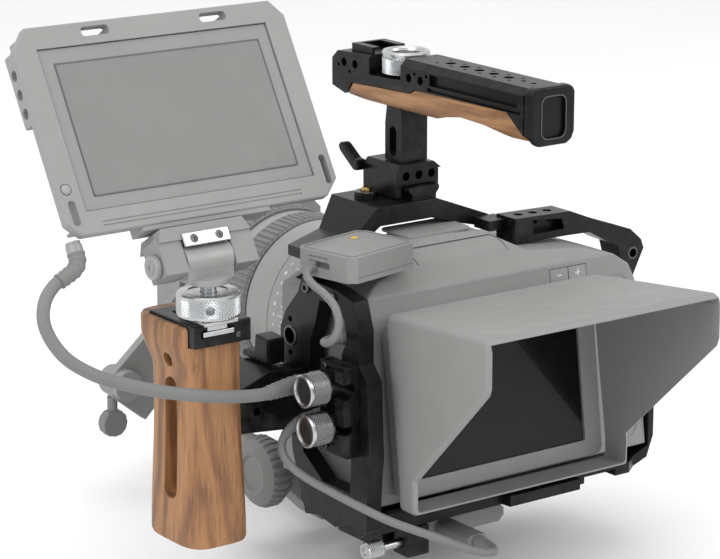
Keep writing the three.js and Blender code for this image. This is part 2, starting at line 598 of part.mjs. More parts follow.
function cords() {
  cord('monitor_cable', 6.6, [
    [-236.4, 56, 157], [-236.6, 54.4, 154.4], [-242, 54, 150.4], [-251, 53.6, 146], [-258, 51, 139],
    [-261, 46, 129], [-256, 38, 115.5], [-243, 31.5, 105.2], [-226, 27, 98], [-207, 24, 91.8], [-188, 22.4, 87],
    [-167.4, 23.6, 82.4], [-148.6, 27.2, 79.2], [-134, 32, 78.2], [-125, 34.3, 78], [-121.8, 34.4, 78],
  ], 24)
  place(rig, 'monitor_cable_connector', 'pale', cylinder('x', 5, -121.3, BODY.left - GAP, [0, 34.4, 78], 12))
  cord('ssd_cable', 4.4, [
    [-113.4, 33, 59.5], [-119, 33.6, 58.8], [-126, 34, 55.6], [-132, 33.4, 50], [-134, 30, 44.4], [-132, 24, 38],
    [-126, 17, 32], [-118.6, 8, 26.4], [-110.8, -4.4, 20.8], [-98, -12, 12.8], [-86, -18.6, 7], [-74, -26, 1.6],
    [-63.5, -33.4, -3.4], [-54.5, -36.4, -6.4], [-47, -34, -8.2], [-43, -27, -9], [-42.5, -15, -9],
  ], 30)
  place(rig, 'ssd_cable_connector', 'pale', cylinder('x', 4, -113, BODY.left - GAP, [0, 33, 59.5], 12))
  cord('receiver_cable', 4.2, [
    [-108.9, 37.4, 136.6], [-112.3, 36.6, 136.2], [-116.2, 33.2, 134.4], [-117.6, 26, 131.6], [-117, 17, 128.6],
    [-116.4, 9, 123.6], [-116.6, 5.2, 115.6], [-117.6, 7.4, 108.4], [-117.8, 13.6, 104], [-115.6, 19.6, 102.8],
    [-111.4, 22.4, 102.6], [-107.3, 22.8, 102.6],
  ], 12)
  place(rig, 'receiver_cable_plug', 'pale', turned('x', [
    [0, -106.6], [3.2, -106.6], [4.4, -102], [4.4, BODY.left - GAP], [0, BODY.left - GAP],
  ], [0, 22.8, 102.6], 12))
}

cameraBody()
cameraInside()
rearButtons()
screenAndHood()
hood()
lens()
cageLeft()
cageBase()
cageTop()
topHandle()
handleClamp()
sideHandle()
sideClamp()
cableClamp()
monitorMount()
monitor()
receiver()
ssd()
frontSupport()
cords()

export default rig
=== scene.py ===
# Cinema camera rig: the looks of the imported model. Lengths below are in millimetres and become metres
# in the meshes. +X is the operator's right, +Y is the way the lens looks, +Z is up.
import bpy
import bmesh
import json
import math
from mathutils import Matrix, Vector

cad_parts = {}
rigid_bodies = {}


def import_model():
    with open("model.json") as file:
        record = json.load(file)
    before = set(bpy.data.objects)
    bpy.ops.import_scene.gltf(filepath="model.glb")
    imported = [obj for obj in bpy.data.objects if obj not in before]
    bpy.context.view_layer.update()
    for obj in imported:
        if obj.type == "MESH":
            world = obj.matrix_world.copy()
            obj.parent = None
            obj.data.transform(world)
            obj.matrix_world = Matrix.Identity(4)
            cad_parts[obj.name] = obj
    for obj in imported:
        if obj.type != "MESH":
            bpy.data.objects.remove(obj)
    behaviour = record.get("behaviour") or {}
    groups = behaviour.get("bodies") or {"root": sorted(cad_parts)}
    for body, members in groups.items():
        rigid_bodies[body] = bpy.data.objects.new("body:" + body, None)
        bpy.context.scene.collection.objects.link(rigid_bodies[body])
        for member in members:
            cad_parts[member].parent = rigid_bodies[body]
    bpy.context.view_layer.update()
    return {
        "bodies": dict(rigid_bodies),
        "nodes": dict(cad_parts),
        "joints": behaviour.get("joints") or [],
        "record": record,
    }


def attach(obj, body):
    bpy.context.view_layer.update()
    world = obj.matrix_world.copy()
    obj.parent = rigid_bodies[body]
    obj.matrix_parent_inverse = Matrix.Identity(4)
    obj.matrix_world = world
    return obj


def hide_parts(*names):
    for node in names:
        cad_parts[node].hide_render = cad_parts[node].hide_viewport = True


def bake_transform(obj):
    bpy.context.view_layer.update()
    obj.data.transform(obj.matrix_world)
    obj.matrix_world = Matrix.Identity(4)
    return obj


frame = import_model()
NODES = frame["nodes"]
ROOT = "camera_and_cage"
MM = 0.001
AXIS_X = -14.0
AXIS_Z = 74.0
SLANT = math.radians(7.55)
LEAN = math.radians(30.9)
TILT = Vector((-170.0, 47.0, 148.4))
HOOD_FLARE = 0.067
RECEIVER_CORNER = Vector((-103, 12, 0))
RECEIVER_TURN = 0.21
LENS_CORE = 42.5
RIB_DEPTH = 0.9
RIB_SHARE = 0.42
SCENE = bpy.context.scene


# ---------- meshes ----------
def link(name, mesh):
    obj = bpy.data.objects.new(name, mesh)
    SCENE.collection.objects.link(obj)
    return obj


def from_bmesh(name, bm):
    bmesh.ops.recalc_face_normals(bm, faces=bm.faces)
    mesh = bpy.data.meshes.new(name)
    bm.to_mesh(mesh)
    bm.free()
    return link(name, mesh)


def spot(axis, a, b, t):
    """A point from two section coordinates and the place along the axis, in metres."""
    point = {"x": (t, a, b), "y": (a, t, b), "z": (a, b, t)}[axis]
    return Vector(point) * MM


def prism(axis, points, low, high):
    bm = bmesh.new()
    ends = [[bm.verts.new(spot(axis, a, b, t)) for a, b in points] for t in (low, high)]
    bm.faces.new(ends[0])
    bm.faces.new(ends[1])
    count = len(points)
    for i in range(count):
        j = (i + 1) % count
        bm.faces.new((ends[0][i], ends[0][j], ends[1][j], ends[1][i]))
    return from_bmesh("prism", bm)


def block(x0, x1, y0, y1, z0, z1):
    """A rectangular solid between two values on each axis."""
    return prism("z", [(x0, y0), (x1, y0), (x1, y1), (x0, y1)], z0, z1)


def rounded(x0, x1, y0, y1, radius, steps=5):
    """The outline of a rectangle with round corners."""
    points = []
    for cx, cy, start in ((x1 - radius, y1 - radius, 0), (x0 + radius, y1 - radius, 90),
                          (x0 + radius, y0 + radius, 180), (x1 - radius, y0 + radius, 270)):
        for i in range(steps + 1):
            angle = math.radians(start + 90 * i / steps)
            points.append((cx + radius * math.cos(angle), cy + radius * math.sin(angle)))
    return points


def lathe(axis, profile, centre, sides=96, wave=None):
    """Turns a profile of (radius, height) about an axis. wave changes a radius by its angle and height."""
    bm = bmesh.new()
    rings = []
    for r, h in profile:
        count = 1 if r < 1e-6 else sides
        ring = []
        for i in range(count):
            angle = 2 * math.pi * i / sides
            rr = wave(angle, r, h) if wave and count > 1 else r
            a, b = rr * math.cos(angle), rr * math.sin(angle)
            ring.append(bm.verts.new(spot(axis, a, b, h) + Vector(centre) * MM))
        rings.append(ring)
    for lower, upper in zip(rings, rings[1:]):
        for i in range(sides):
            j = (i + 1) % sides
            corners = [lower[i % len(lower)], lower[j % len(lower)], upper[j % len(upper)],
                       upper[i % len(upper)]]
            unique = list(dict.fromkeys(corners))
            if len(unique) > 2:
                bm.faces.new(unique)
    bmesh.ops.remove_doubles(bm, verts=bm.verts, dist=1e-7)
    return from_bmesh("turned", bm)


def rod(axis, radius, low, high, centre, sides=48):
    return lathe(axis, [(0, low), (radius, low), (radius, high), (0, high)], centre, sides)


def evaluated(obj):
    graph = bpy.context.evaluated_depsgraph_get()
    mesh = bpy.data.meshes.new_from_object(obj.evaluated_get(graph))
    obj.modifiers.clear()
    obj.data = mesh
    return obj


def boolean(obj, others, operation):
    for other in others:
        modifier = obj.modifiers.new("solid", "BOOLEAN")
        modifier.operation = operation
        modifier.solver = "EXACT"
        modifier.object = other
        evaluated(obj)
        bpy.data.objects.remove(other)
    return obj


def cut(obj, *others):
    return boolean(obj, others, "DIFFERENCE")


def join(obj, *others):
    return boolean(obj, others, "UNION")


def common(obj, *others):
    return boolean(obj, others, "INTERSECT")


def flatten(obj):
    """Merges coplanar triangles, so that edges can be rounded."""
    weld = obj.modifiers.new("weld", "WELD")
    weld.merge_threshold = 2e-6
    planar = obj.modifiers.new("planar", "DECIMATE")
    planar.decimate_type = "DISSOLVE"
    planar.angle_limit = math.radians(0.4)
    return evaluated(obj)


def bevel(obj, width, segments=3, angle=28):
    """Rounds every edge sharper than an angle."""
    modifier = obj.modifiers.new("bevel", "BEVEL")
    modifier.width = width * MM
    modifier.segments = segments
    modifier.limit_method = "ANGLE"
    modifier.angle_limit = math.radians(angle)
    modifier.miter_outer = "MITER_ARC"
    return evaluated(obj)


def smooth(obj, angle=32):
    """Smooth shading that keeps sharp edges and leaves large faces flat."""
    obj.data.shade_smooth()
    obj.data.set_sharp_from_angle(angle=math.radians(angle))
    modifier = obj.modifiers.new("normals", "WEIGHTED_NORMAL")
    modifier.keep_sharp = True
    return evaluated(obj)


def grouped(*objs):
    """Puts several meshes into the first one, without merging their solids."""
    bm = bmesh.new()
    for obj in objs:
        bm.from_mesh(obj.data)
    for obj in objs[1:]:
        bpy.data.objects.remove(obj)
    mesh = bpy.data.meshes.new("group")
    bm.to_mesh(mesh)
    bm.free()
    objs[0].data = mesh
    return objs[0]


def copy_of(node):
    """A welded copy of a CAD node's mesh, to be refined."""
    obj = link("copy", NODES[node].data.copy())
    obj.data.materials.clear()
    return flatten(obj)


def tilted(obj):
    """Moves a mesh made in the monitor's own frame to its place."""
    place = Matrix.Translation(TILT * MM) @ Matrix.Rotation(-LEAN, 4, "X")
    obj.data.transform(place)
    return obj


def leaning(obj):
    """Moves a mesh made in the screen's own frame to its place on the slanted rear face."""
    place = Matrix.Translation(Vector((AXIS_X, 0, 26)) * MM) @ Matrix.Rotation(-SLANT, 4, "X")
    obj.data.transform(place)
    return obj


def finish_piece(obj, name, body, material, replaces=()):
    obj.name = name
    obj.data.name = name
    obj.data.materials.clear()
    obj.data.materials.append(material)
    if body:
        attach(obj, body)
    if replaces:
        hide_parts(*replaces)
    return obj


# ---------- materials ----------
def srgb(text):
    values = [int(text[i:i + 2], 16) / 255 for i in (0, 2, 4)]
    return tuple(v / 12.92 if v < 0.04045 else ((v + 0.055) / 1.055) ** 2.4 for v in values) + (1.0,)


class Nodes:
    """A short way to write a node tree."""

    def __init__(self, name):
        self.material = bpy.data.materials.new(name)
        self.material.use_nodes = True
        self.tree = self.material.node_tree
        self.shader = self.tree.nodes["Principled BSDF"]
        self.coords = self.tree.nodes.new("ShaderNodeTexCoord").outputs["Object"]

    def add(self, kind, inputs=None, **settings):
        node = self.tree.nodes.new(kind)
        for key, value in settings.items():
            setattr(node, key, value)
        for key, value in (inputs or {}).items():
            if isinstance(value, bpy.types.NodeSocket):
                self.tree.links.new(value, node.inputs[key])
            else:
                node.inputs[key].default_value = value
        return node

    def stretched(self, scale):
        return self.add("ShaderNodeMapping", {"Vector": self.coords, "Scale": scale}).outputs[0]

    def noise(self, scale, detail=4.0, vector=None, distortion=0.0, roughness=0.55):
        return self.add("ShaderNodeTexNoise", {
            "Vector": vector or self.coords, "Scale": scale, "Detail": detail,
            "Distortion": distortion, "Roughness": roughness,
        }).outputs["Fac"]

    def ramp(self, value, stops):
        node = self.add("ShaderNodeValToRGB", {"Fac": value})
        elements = node.color_ramp.elements
        while len(elements) < len(stops):
            elements.new(0.5)
        for element, (position, colour) in zip(elements, stops):
            element.position = position
            element.color = colour if len(colour) == 4 else tuple(colour) + (1.0,)
        return node.outputs["Color"]

    def spread(self, value, low, high, start=0.3, end=0.7):
        return self.add("ShaderNodeMapRange", {
            "Value": value, "From Min": start, "From Max": end, "To Min": low, "To Max": high,
        }).outputs["Result"]

    def mixed(self, factor, a, b, blend="MIX"):
        node = self.add("ShaderNodeMix", data_type="RGBA", blend_type=blend)
        for socket, value in (("Factor_Float", factor), ("A_Color", a), ("B_Color", b)):
            target = next(s for s in node.inputs if s.identifier == socket)
            if isinstance(value, bpy.types.NodeSocket):
                self.tree.links.new(value, target)
            else:
                target.default_value = value
        return next(s for s in node.outputs if s.identifier == "Result_Color")

    def bump(self, height, strength, distance):
        return self.add("ShaderNodeBump", {
            "Height": height, "Strength": strength, "Distance": distance,
        }).outputs["Normal"]

    def set(self, **values):
        for key, value in values.items():
            socket = self.shader.inputs[key.replace("_", " ")]
            if isinstance(value, bpy.types.NodeSocket):
                self.tree.links.new(value, socket)
            else:
                socket.default_value = value
        return self.material


def shaded(colour, factor):
    return tuple(min(1.0, c * factor) for c in colour[:3]) + (1.0,)


def coated(name, colour, rough, metallic=0.0, grain=2600.0, bump=0.12, vary=0.08, wear=0.0, spec=0.5,
           uneven=0.15):
    """A moulded or painted surface: fine grain, uneven gloss, faint stains, and edges lighter, partly as
    wear and partly as a painted highlight.
    """
    n = Nodes(name)
    clouds = n.noise(28.0, 5.0)
    tint = n.ramp(clouds, [(0.3, shaded(colour, 1 - vary)), (0.7, shaded(colour, 1 + vary))])
    # Lighter edges: partly real edge wear, partly a painted edge highlight.
    if wear:
        edge = n.spread(n.add("ShaderNodeNewGeometry").outputs["Pointiness"], 0.0, 1.0, 0.52, 0.62)
        rub_and_edge_highlight = n.add("ShaderNodeMath", {0: edge, 1: n.spread(n.noise(160.0, 3.0), 0.0, wear, 0.4, 0.65)},
                    operation="MULTIPLY").outputs[0]
        tint = n.mixed(rub_and_edge_highlight, tint, (0.42, 0.42, 0.41, 1.0))
    gloss = n.spread(n.noise(90.0, 6.0), rough * (1 - uneven), rough * (1 + uneven))
    height = n.noise(grain, 2.0)
    n.shader.inputs["Metallic"].default_value = metallic
    n.shader.inputs["Specular IOR Level"].default_value = spec
    return n.set(Base_Color=tint, Roughness=gloss, Normal=n.bump(height, bump, 0.0002))


def machined(name, colour, rough=0.26, stretch=(60, 60, 2600), wear=0.12):
    """Bare metal with fine turning marks and slight smudges."""
    n = Nodes(name)
    marks = n.noise(1.0, 3.0, n.stretched(stretch))
    tint = n.ramp(n.noise(60.0, 4.0), [(0.3, shaded(colour, 1 - wear)), (0.7, shaded(colour, 1.04))])
    gloss = n.spread(n.noise(220.0, 5.0), rough * 0.8, rough * 1.35)
    n.shader.inputs["Metallic"].default_value = 1.0
    return n.set(Base_Color=tint, Roughness=gloss, Normal=n.bump(marks, 0.12, 0.0002))


def timber(name, along, tones, rough=0.5, size=1.0, coat=0.12):
    """Oiled wood with the grain running along one axis: growth bands, fibres, pores and a few knots."""
    n = Nodes(name)
    index = "xyz".index(along)
    slow = [1.0, 1.0, 1.0]
    slow[index] = 0.14
    fine = [1.0, 1.0, 1.0]
    fine[index] = 0.03
    bend = n.noise(14.0 * size, 3.0, n.stretched(slow), 0.6)
    bands = n.add("ShaderNodeTexWave", {
        "Vector": n.stretched(slow), "Scale": 46.0 * size, "Distortion": 7.0, "Detail": 4.0,
        "Detail Scale": 1.6, "Detail Roughness": 0.62, "Phase Offset": 1.3,
    }, wave_type="BANDS", bands_direction="DIAGONAL").outputs["Fac"]
    fibre = n.noise(900.0, 4.0, n.stretched(fine), 0.3, 0.7)
    knot = n.add("ShaderNodeTexVoronoi", {"Vector": n.stretched(slow), "Scale": 13.0 * size},
                 feature="F1").outputs["Distance"]
    base = n.add("ShaderNodeMath", {0: bands, 1: 0.14}, operation="MULTIPLY").outputs[0]
    base = n.add("ShaderNodeMath", {0: bend, 1: 0.36, 2: base}, operation="MULTIPLY_ADD").outputs[0]
    base = n.add("ShaderNodeMath", {0: fibre, 1: 0.34, 2: base}, operation="MULTIPLY_ADD").outputs[0]
    tint = n.ramp(base, [(0.3, tones[0]), (0.39, tones[1]), (0.46, tones[2]), (0.56, tones[3])])
    ring = n.spread(knot, 0.4, 0.0, 0.02, 0.09)
    tint = n.mixed(ring, tint, tones[0])
    pores = n.spread(n.noise(1500.0, 2.0, n.stretched(fine), 0.0, 0.4), 0.5, 0.0, 0.3, 0.42)
    tint = n.mixed(pores, tint, shaded(tones[0], 0.5))
    height = n.add("ShaderNodeMath", {0: fibre, 1: pores}, operation="SUBTRACT").outputs[0]
    n.shader.inputs["Coat Weight"].default_value = coat
    n.shader.inputs["Coat Roughness"].default_value = 0.35
    return n.set(Base_Color=tint, Roughness=n.spread(fibre, rough * 0.85, rough * 1.2),
                 Normal=n.bump(height, 0.35, 0.0003))


GREY = srgb("858584")
# The black parts' edges are painted lighter (wear 0.06): partly wear, partly a painted highlight.
BLACK = coated("black_anodised", (0.0036, 0.0036, 0.004, 1), 0.34, 0.0, 3200.0, 0.06, 0.05, 0.06, 0.22,
               0.04)
BLACK_DEEP = coated("black_recess", (0.004, 0.004, 0.0045, 1), 0.6, 0.0, 2600.0, 0.1, 0.1)
STEEL = machined("machined_steel", (0.52, 0.53, 0.54, 1), 0.27)
DARK_STEEL = machined("dark_steel", (0.12, 0.12, 0.125, 1), 0.34)
KNURL = machined("knurled_steel", (0.27, 0.27, 0.275, 1), 0.3)
BRASS = machined("brass_pin", (0.62, 0.4, 0.16, 1), 0.22)
PALE = coated("pale_shell", GREY, 0.56, 0.0, 1900.0, 0.16, 0.035)
PALE_DARK = coated("pale_panel", srgb("777776"), 0.5, 0.0, 1500.0, 0.1, 0.03)
PALE_LIGHT = coated("pale_frame", srgb("8A8A89"), 0.5, 0.0, 2200.0, 0.12, 0.03)
PALE_METAL = coated("pale_metal", srgb("929291"), 0.4, 0.15, 2600.0, 0.08, 0.05)
PALE_RUBBER = coated("grey_rubber", srgb("747473"), 0.62, 0.0, 1200.0, 0.22, 0.06)
GROOVE = coated("grey_groove", srgb("5A5A5A"), 0.7, 0.0, 1500.0, 0.1, 0.05)
MARK = coated("white_marking", srgb("D0D0D0"), 0.5, 0.0, 2200.0, 0.05, 0.02)
YELLOW = coated("yellow_dot", srgb("D2A93A"), 0.4, 0.0, 2200.0, 0.05, 0.04)
BOARD = coated("circuit_board", (0.03, 0.12, 0.06, 1), 0.5, 0.0, 700.0, 0.3, 0.2)
CELL = coated("battery_case", (0.02, 0.02, 0.022, 1), 0.6, 0.0, 1800.0, 0.2, 0.1)
WALNUT = timber("walnut", "z", [srgb("66452B"), srgb("865C3B"), srgb("986B43"), srgb("A97B51")], 0.55, 1.0)
OAK = timber("light_walnut", "y", [srgb("74502F"), srgb("8B6240"), srgb("996F47"), srgb("A77D55")], 0.55,
             1.6)


def screen_glass():
    """Switched-off screen: near black, with a painted reflection: lighter on one side of a slanted line,
    and one deeper triangle where the painted reflection ends.
    """
    n = Nodes("screen_off_painted_reflection")
    # Painted reflection: the base colour is lighter on one side of a slanted line across the screen and
    # darker beyond it.
    split = n.add("ShaderNodeSeparateXYZ", {"Vector": n.coords})
    along = n.add("ShaderNodeMath", {0: split.outputs["X"], 1: 1.257, 2: split.outputs["Z"]},
                  operation="MULTIPLY_ADD").outputs[0]
    edge = n.spread(along, 0.0, 1.0, 0.0862, 0.0868)
    tint = n.mixed(edge, (0.019, 0.019, 0.02, 1), (0.004, 0.004, 0.0045, 1))
    n.shader.inputs["Specular IOR Level"].default_value = 0.14
    return n.set(Base_Color=tint, Roughness=n.spread(n.noise(120.0), 0.16, 0.24),
                 Normal=n.bump(n.noise(900.0, 2.0), 0.02, 0.0001))


def lens_glass():
    n = Nodes("lens_glass")
    tint = n.ramp(n.noise(20.0), [(0.35, (0.05, 0.06, 0.09, 1)), (0.65, (0.08, 0.06, 0.1, 1))])
    n.shader.inputs["Coat Weight"].default_value = 1.0
    n.shader.inputs["Coat Roughness"].default_value = 0.02
    return n.set(Base_Color=tint, Roughness=n.spread(n.noise(200.0), 0.03, 0.07),
                 Normal=n.bump(n.noise(500.0), 0.01, 0.0001))


SCREEN = screen_glass()
GLASS = lens_glass()


# ---------- camera and cords first ----------
def make_camera():
    data = bpy.data.cameras.new("view")
    data.lens = 141.5
    data.sensor_width = 36.0
    data.clip_start, data.clip_end = 0.05, 60.0
    obj = bpy.data.objects.new("view", data)
    obj.location = (-0.90687, -1.10068, 0.50012)
    obj.rotation_euler = Vector((0.568, 0.782, -0.257)).to_track_quat("-Z", "Y").to_euler()
    SCENE.collection.objects.link(obj)
    SCENE.camera = obj


def spline(points, samples):
    """Points along a centripetal Catmull-Rom curve through the given ones, evenly shared out."""
    pts = [Vector(p) for p in points]
    pts = [pts[0] * 2 - pts[1]] + pts + [pts[-1] * 2 - pts[-2]]
    dense = []
    for i in range(1, len(pts) - 2):
        p0, p1, p2, p3 = pts[i - 1:i + 3]
        t1 = math.sqrt((p1 - p0).length)
        t2 = t1 + math.sqrt((p2 - p1).length)
        t3 = t2 + math.sqrt((p3 - p2).length)
        for k in range(16):
            t = t1 + (t2 - t1) * k / 16
            a1 = p0 * ((t1 - t) / t1) + p1 * (t / t1)
            a2 = p1 * ((t2 - t) / (t2 - t1)) + p2 * ((t - t1) / (t2 - t1))
            a3 = p2 * ((t3 - t) / (t3 - t2)) + p3 * ((t - t2) / (t3 - t2))
            b1 = a1 * ((t2 - t) / t2) + a2 * (t / t2)
            b2 = a2 * ((t3 - t) / (t3 - t1)) + a3 * ((t - t1) / (t3 - t1))
            dense.append(b1 * ((t2 - t) / (t2 - t1)) + b2 * ((t - t1) / (t2 - t1)))
    dense.append(pts[-2])
    steps = [0.0]
    for a, b in zip(dense, dense[1:]):
        steps.append(steps[-1] + (b - a).length)
    out = []
    j = 0
    for k in range(samples):
        want = steps[-1] * k / (samples - 1)
        while j < len(steps) - 2 and steps[j + 1] < want:
            j += 1
        share = (want - steps[j]) / max(1e-9, steps[j + 1] - steps[j])
        out.append(dense[j].lerp(dense[j + 1], share))
    return out, steps[-1]


def swept(path, radii, sides=20):
    """A closed tube along points, with a radius at each."""
    bm = bmesh.new()
    rings = []
    normal = None
    for i, p in enumerate(path):
        tangent = (path[min(i + 1, len(path) - 1)] - path[max(i - 1, 0)]).normalized()
        if normal is None:
            normal = tangent.orthogonal().normalized()
        normal = (normal - tangent * normal.dot(tangent)).normalized()
        side = tangent.cross(normal)
        ring = []
        for k in range(sides):
            angle = 2 * math.pi * k / sides
            offset = (normal * math.cos(angle) + side * math.sin(angle)) * radii[i]
            ring.append(bm.verts.new((p + offset) * MM))
        rings.append(ring)
    for lower, upper in zip(rings, rings[1:]):
        for k in range(sides):
            j = (k + 1) % sides
            bm.faces.new((lower[k], lower[j], upper[j], upper[k]))
    bm.faces.new(rings[0])
    bm.faces.new(rings[-1])
    return smooth(from_bmesh("tube", bm), 50)


MONITOR_CABLE = [
    (-237.6, 54.3, 153.6), (-242, 54, 150.4), (-251, 53.6, 146), (-258, 51, 139), (-261, 46, 129),
    (-256, 38, 115.5), (-243, 31.5, 105.2), (-226, 27, 98), (-207, 24, 91.8), (-188, 22.4, 87),
    (-167.4, 23.6, 82.4), (-148.6, 27.2, 79.2), (-134, 32, 78.2), (-125, 34.3, 78), (-121.8, 34.4, 78),
]
SSD_CABLE = [
    (-113.4, 33, 59.5), (-119, 33.6, 58.8), (-126, 34, 55.6), (-132, 33.4, 50), (-134, 30, 44.4),
    (-132, 24, 38), (-126, 17, 32), (-118.6, 8, 26.4), (-110.8, -4.4, 20.8), (-98, -12, 12.8),
    (-86, -18.6, 7), (-74, -26, 1.6), (-63.5, -33.4, -3.4), (-54.5, -36.4, -6.4), (-47, -34, -8.2),
    (-43, -27, -9), (-42.5, -15, -9),
]
RECEIVER_CABLE = [
    (-108.9, 37.4, 136.6), (-112.3, 36.6, 136.2), (-116.2, 33.2, 134.4), (-117.6, 26, 131.6),
    (-117, 17, 128.6), (-116.4, 9, 123.6), (-116.6, 5.2, 115.6), (-117.6, 7.4, 108.4), (-117.8, 13.6, 104),
    (-115.6, 19.6, 102.8), (-111.4, 22.4, 102.6), (-107.3, 22.8, 102.6),
]


def cords():
    path, length = spline(list(reversed(MONITOR_CABLE)), 140)
    cable = swept(path, [3.3] * len(path), 20)
    cable = finish_piece(cable, "monitor_cable_jacket", None, PALE_RUBBER,
                         ["monitor_cable"])
    relief_path = path[:18]
    relief = swept(relief_path, [4.8 - 1.3 * i / 17 + (0.3 if i % 3 == 0 else 0) for i in range(18)], 24)
    finish_piece(relief, "monitor_cable_relief", ROOT, PALE_RUBBER)
    barrel = lathe("x", [
        (0, -121.6), (4.3, -121.6), (4.6, -120), (4.6, -113), (5, -112.6), (5, -108), (4.4, -107.6),
        (4.4, -106.4), (5, -106), (5, -99), (4.5, -98.6), (4.5, -92.3), (0, -92.3),
    ], (0, 34.4, 78), 64)
    barrel = finish_piece(smooth(barrel), "monitor_cable_barrel", ROOT, PALE_METAL,
                          ["monitor_cable_connector"])
    tail, _ = spline([(-248, 53.7, 147.6), (-242, 54, 150.4), (-238.2, 54.2, 153), (-236.5, 55.6, 156.2),
                      (-236.2, 57.4, 159)], 26)
    boot = swept(tail, [3.7 + 0.5 * i / 25 + (0.35 if i % 4 < 2 else 0) for i in range(26)], 24)
    boot = finish_piece(boot, "monitor_cable_boot", None, PALE_RUBBER)
    plug = tilted(lathe("z", [
        (0, 12.8), (3.4, 12.8), (4.2, 14), (4.2, 18.4), (3.8, 18.8), (3.8, 20.2), (0, 20.2),
    ], (-66.4, 3.3, 0), 48))
    plug = finish_piece(smooth(plug), "monitor_cable_end", "monitor", PALE_METAL,
                        ["monitor_cable_plug"])
    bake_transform(cable)
    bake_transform(boot)

    path, length = spline(SSD_CABLE, 120)
    cable = swept(path, [2.2] * len(path), 16)
    cable = finish_piece(cable, "ssd_cable_jacket", ROOT, PALE_RUBBER, ["ssd_cable"])
    relief = swept(path[:14], [3.4 - 0.08 * i + (0.2 if i % 3 == 0 else 0) for i in range(14)], 20)
    finish_piece(relief, "ssd_cable_relief", ROOT, PALE_RUBBER)
    barrel = lathe("x", [
        (0, -113), (3.4, -113), (3.8, -112), (4, -108), (4, -104), (3.6, -103.6), (3.6, -92.3), (0, -92.3),
    ], (0, 33, 59.5), 48)
    barrel = finish_piece(smooth(barrel), "ssd_cable_barrel", ROOT, PALE_METAL,
                          ["ssd_cable_connector"])
    end = bevel(prism("y", rounded(-48.5, -36.5, -12.4, -5.6, 2.6), -14.6, 13.7), 0.6)
    cuts = [block(-50, -35, y, y + 1, -13, -12) for y in (-8, -5.4, -2.8)]
    end = finish_piece(smooth(cut(end, *cuts)), "ssd_cable_end", ROOT, PALE_RUBBER,
                       ["ssd_cable_plug"])
    tip = swept(path[-12:], [2.3 + 0.09 * i for i in range(12)], 20)
    tip = finish_piece(tip, "ssd_cable_tip", ROOT, PALE_RUBBER)

    path, length = spline(RECEIVER_CABLE, 70)
    cable = swept(path, [2.1] * len(path), 16)
    cable = finish_piece(cable, "receiver_cable_jacket", ROOT, PALE_RUBBER,
                         ["receiver_cable"])
    end = lathe("x", [
        (0, -107), (2.6, -107), (3.2, -105.6), (3.2, -104.8), (3.7, -104.4), (3.7, -103.4), (4.4, -102),
        (4.4, -95), (4, -94.6), (4, -92.3), (0, -92.3),
    ], (0, 22.8, 102.6), 48)
    end = finish_piece(smooth(end), "receiver_cable_end", ROOT, PALE_RUBBER,
                       ["receiver_cable_plug"])


# ---------- refined copies of CAD nodes ----------
def refined(node, name, body, material, width=0.6, cuts=(), segments=2, angle=28):
    obj = copy_of(node)
    cut(obj, *cuts)
    flatten(obj)
    bevel(obj, width, segments, angle)
    smooth(obj, 40)
    return finish_piece(obj, name, body, material, [node])


def screw(centre, axis, radius, depth, name, body=ROOT, material=None, socket=True):
    """A cap screw head with a hex socket, its face at depth along an axis that may be negative."""
    direction = 1 if depth > 0 else -1
    d = abs(depth)
    index = "xyz".index(axis)
    base = centre[index]
    middle = list(centre)
    middle[index] = 0
    profile = [(0, base), (radius, base), (radius, base + direction * d * 0.8),
               (radius * 0.88, base + direction * d)]
    if socket:
        profile += [(radius * 0.52, base + direction * d), (radius * 0.5, base + direction * d * 0.45),
                    (0, base + direction * d * 0.45)]
    else:
        profile += [(0, base + direction * d)]
    obj = smooth(lathe(axis, profile, middle, 24), 30)
    return finish_piece(obj, name, body, material or DARK_STEEL)


def camera_shell():
    lean = math.tan(SLANT)
    side = [(9, 11.5), (92, 11.5), (92, 112), (86, 128), (70, 139), (50, 138), (34, 130),
            (9 + 108 * lean, 119)]
    face = [(-92, 11.5), (94, 11.5), (94, 103), (90, 112), (80, 118.6), (60, 124), (44, 125.4), (26, 127),
            (8, 137), (-34, 139), (-52, 131), (-76, 125), (-92, 116)]
    body = common(prism("x", side, -92, 94), prism("y", face, 0, 100))
    flatten(body)
    bevel(body, 5.5, 5, 9)
    rear = prism("x", [(6, 17), (12.6, 17), (24.2, 105), (24, 107.5), (14, 107.5)], -86, 88)
    opening = common(rear, prism("y", rounded(-86, 88, 17, 107.5, 7), -10, 60))
    inside = prism("x", [(14, 14.5), (89, 14.5), (89, 108), (83, 122), (30, 118), (24, 108)], -88, 90)
    cut(body, opening, inside, rod("y", 30, 60, 110, (AXIS_X, 0, AXIS_Z), 64))
    cut(body, block(34.2, 59.8, 10, 40, 108.8, 116.6), block(84, 95, 30, 72, 30, 84),
        rod("z", 5.4, 112, 140, (66, 74, 0), 40))
    # The hump's panel line, its shallow top recess and the vent slots.
    groove = cut(prism("y", rounded(-46, 14, 118, 135.5, 4), 20, 70),
                 prism("y", rounded(-45.4, 13.4, 118.6, 134.9, 3.6), 18, 72))
    keep = prism("x", [(20, 126), (37.5, 129.8), (37.5, 127.5), (52, 135), (60, 150), (20, 150)], -50, 20)
    cut(body, common(groove, keep))
    for k in range(9):
        cut(body, block(-93, -90.6, 62 + k * 2.6, 63.2 + k * 2.6, 40, 96))
    smooth(body, 34)
    finish_piece(body, "camera_shell", ROOT, PALE, ["camera_body_shell"])
    lid = bevel(flatten(prism("z", rounded(-38, 4, 52, 78, 3), 137.6, 139.4)), 0.5, 2)
    finish_piece(smooth(lid), "camera_hump_lid", ROOT, PALE_LIGHT)


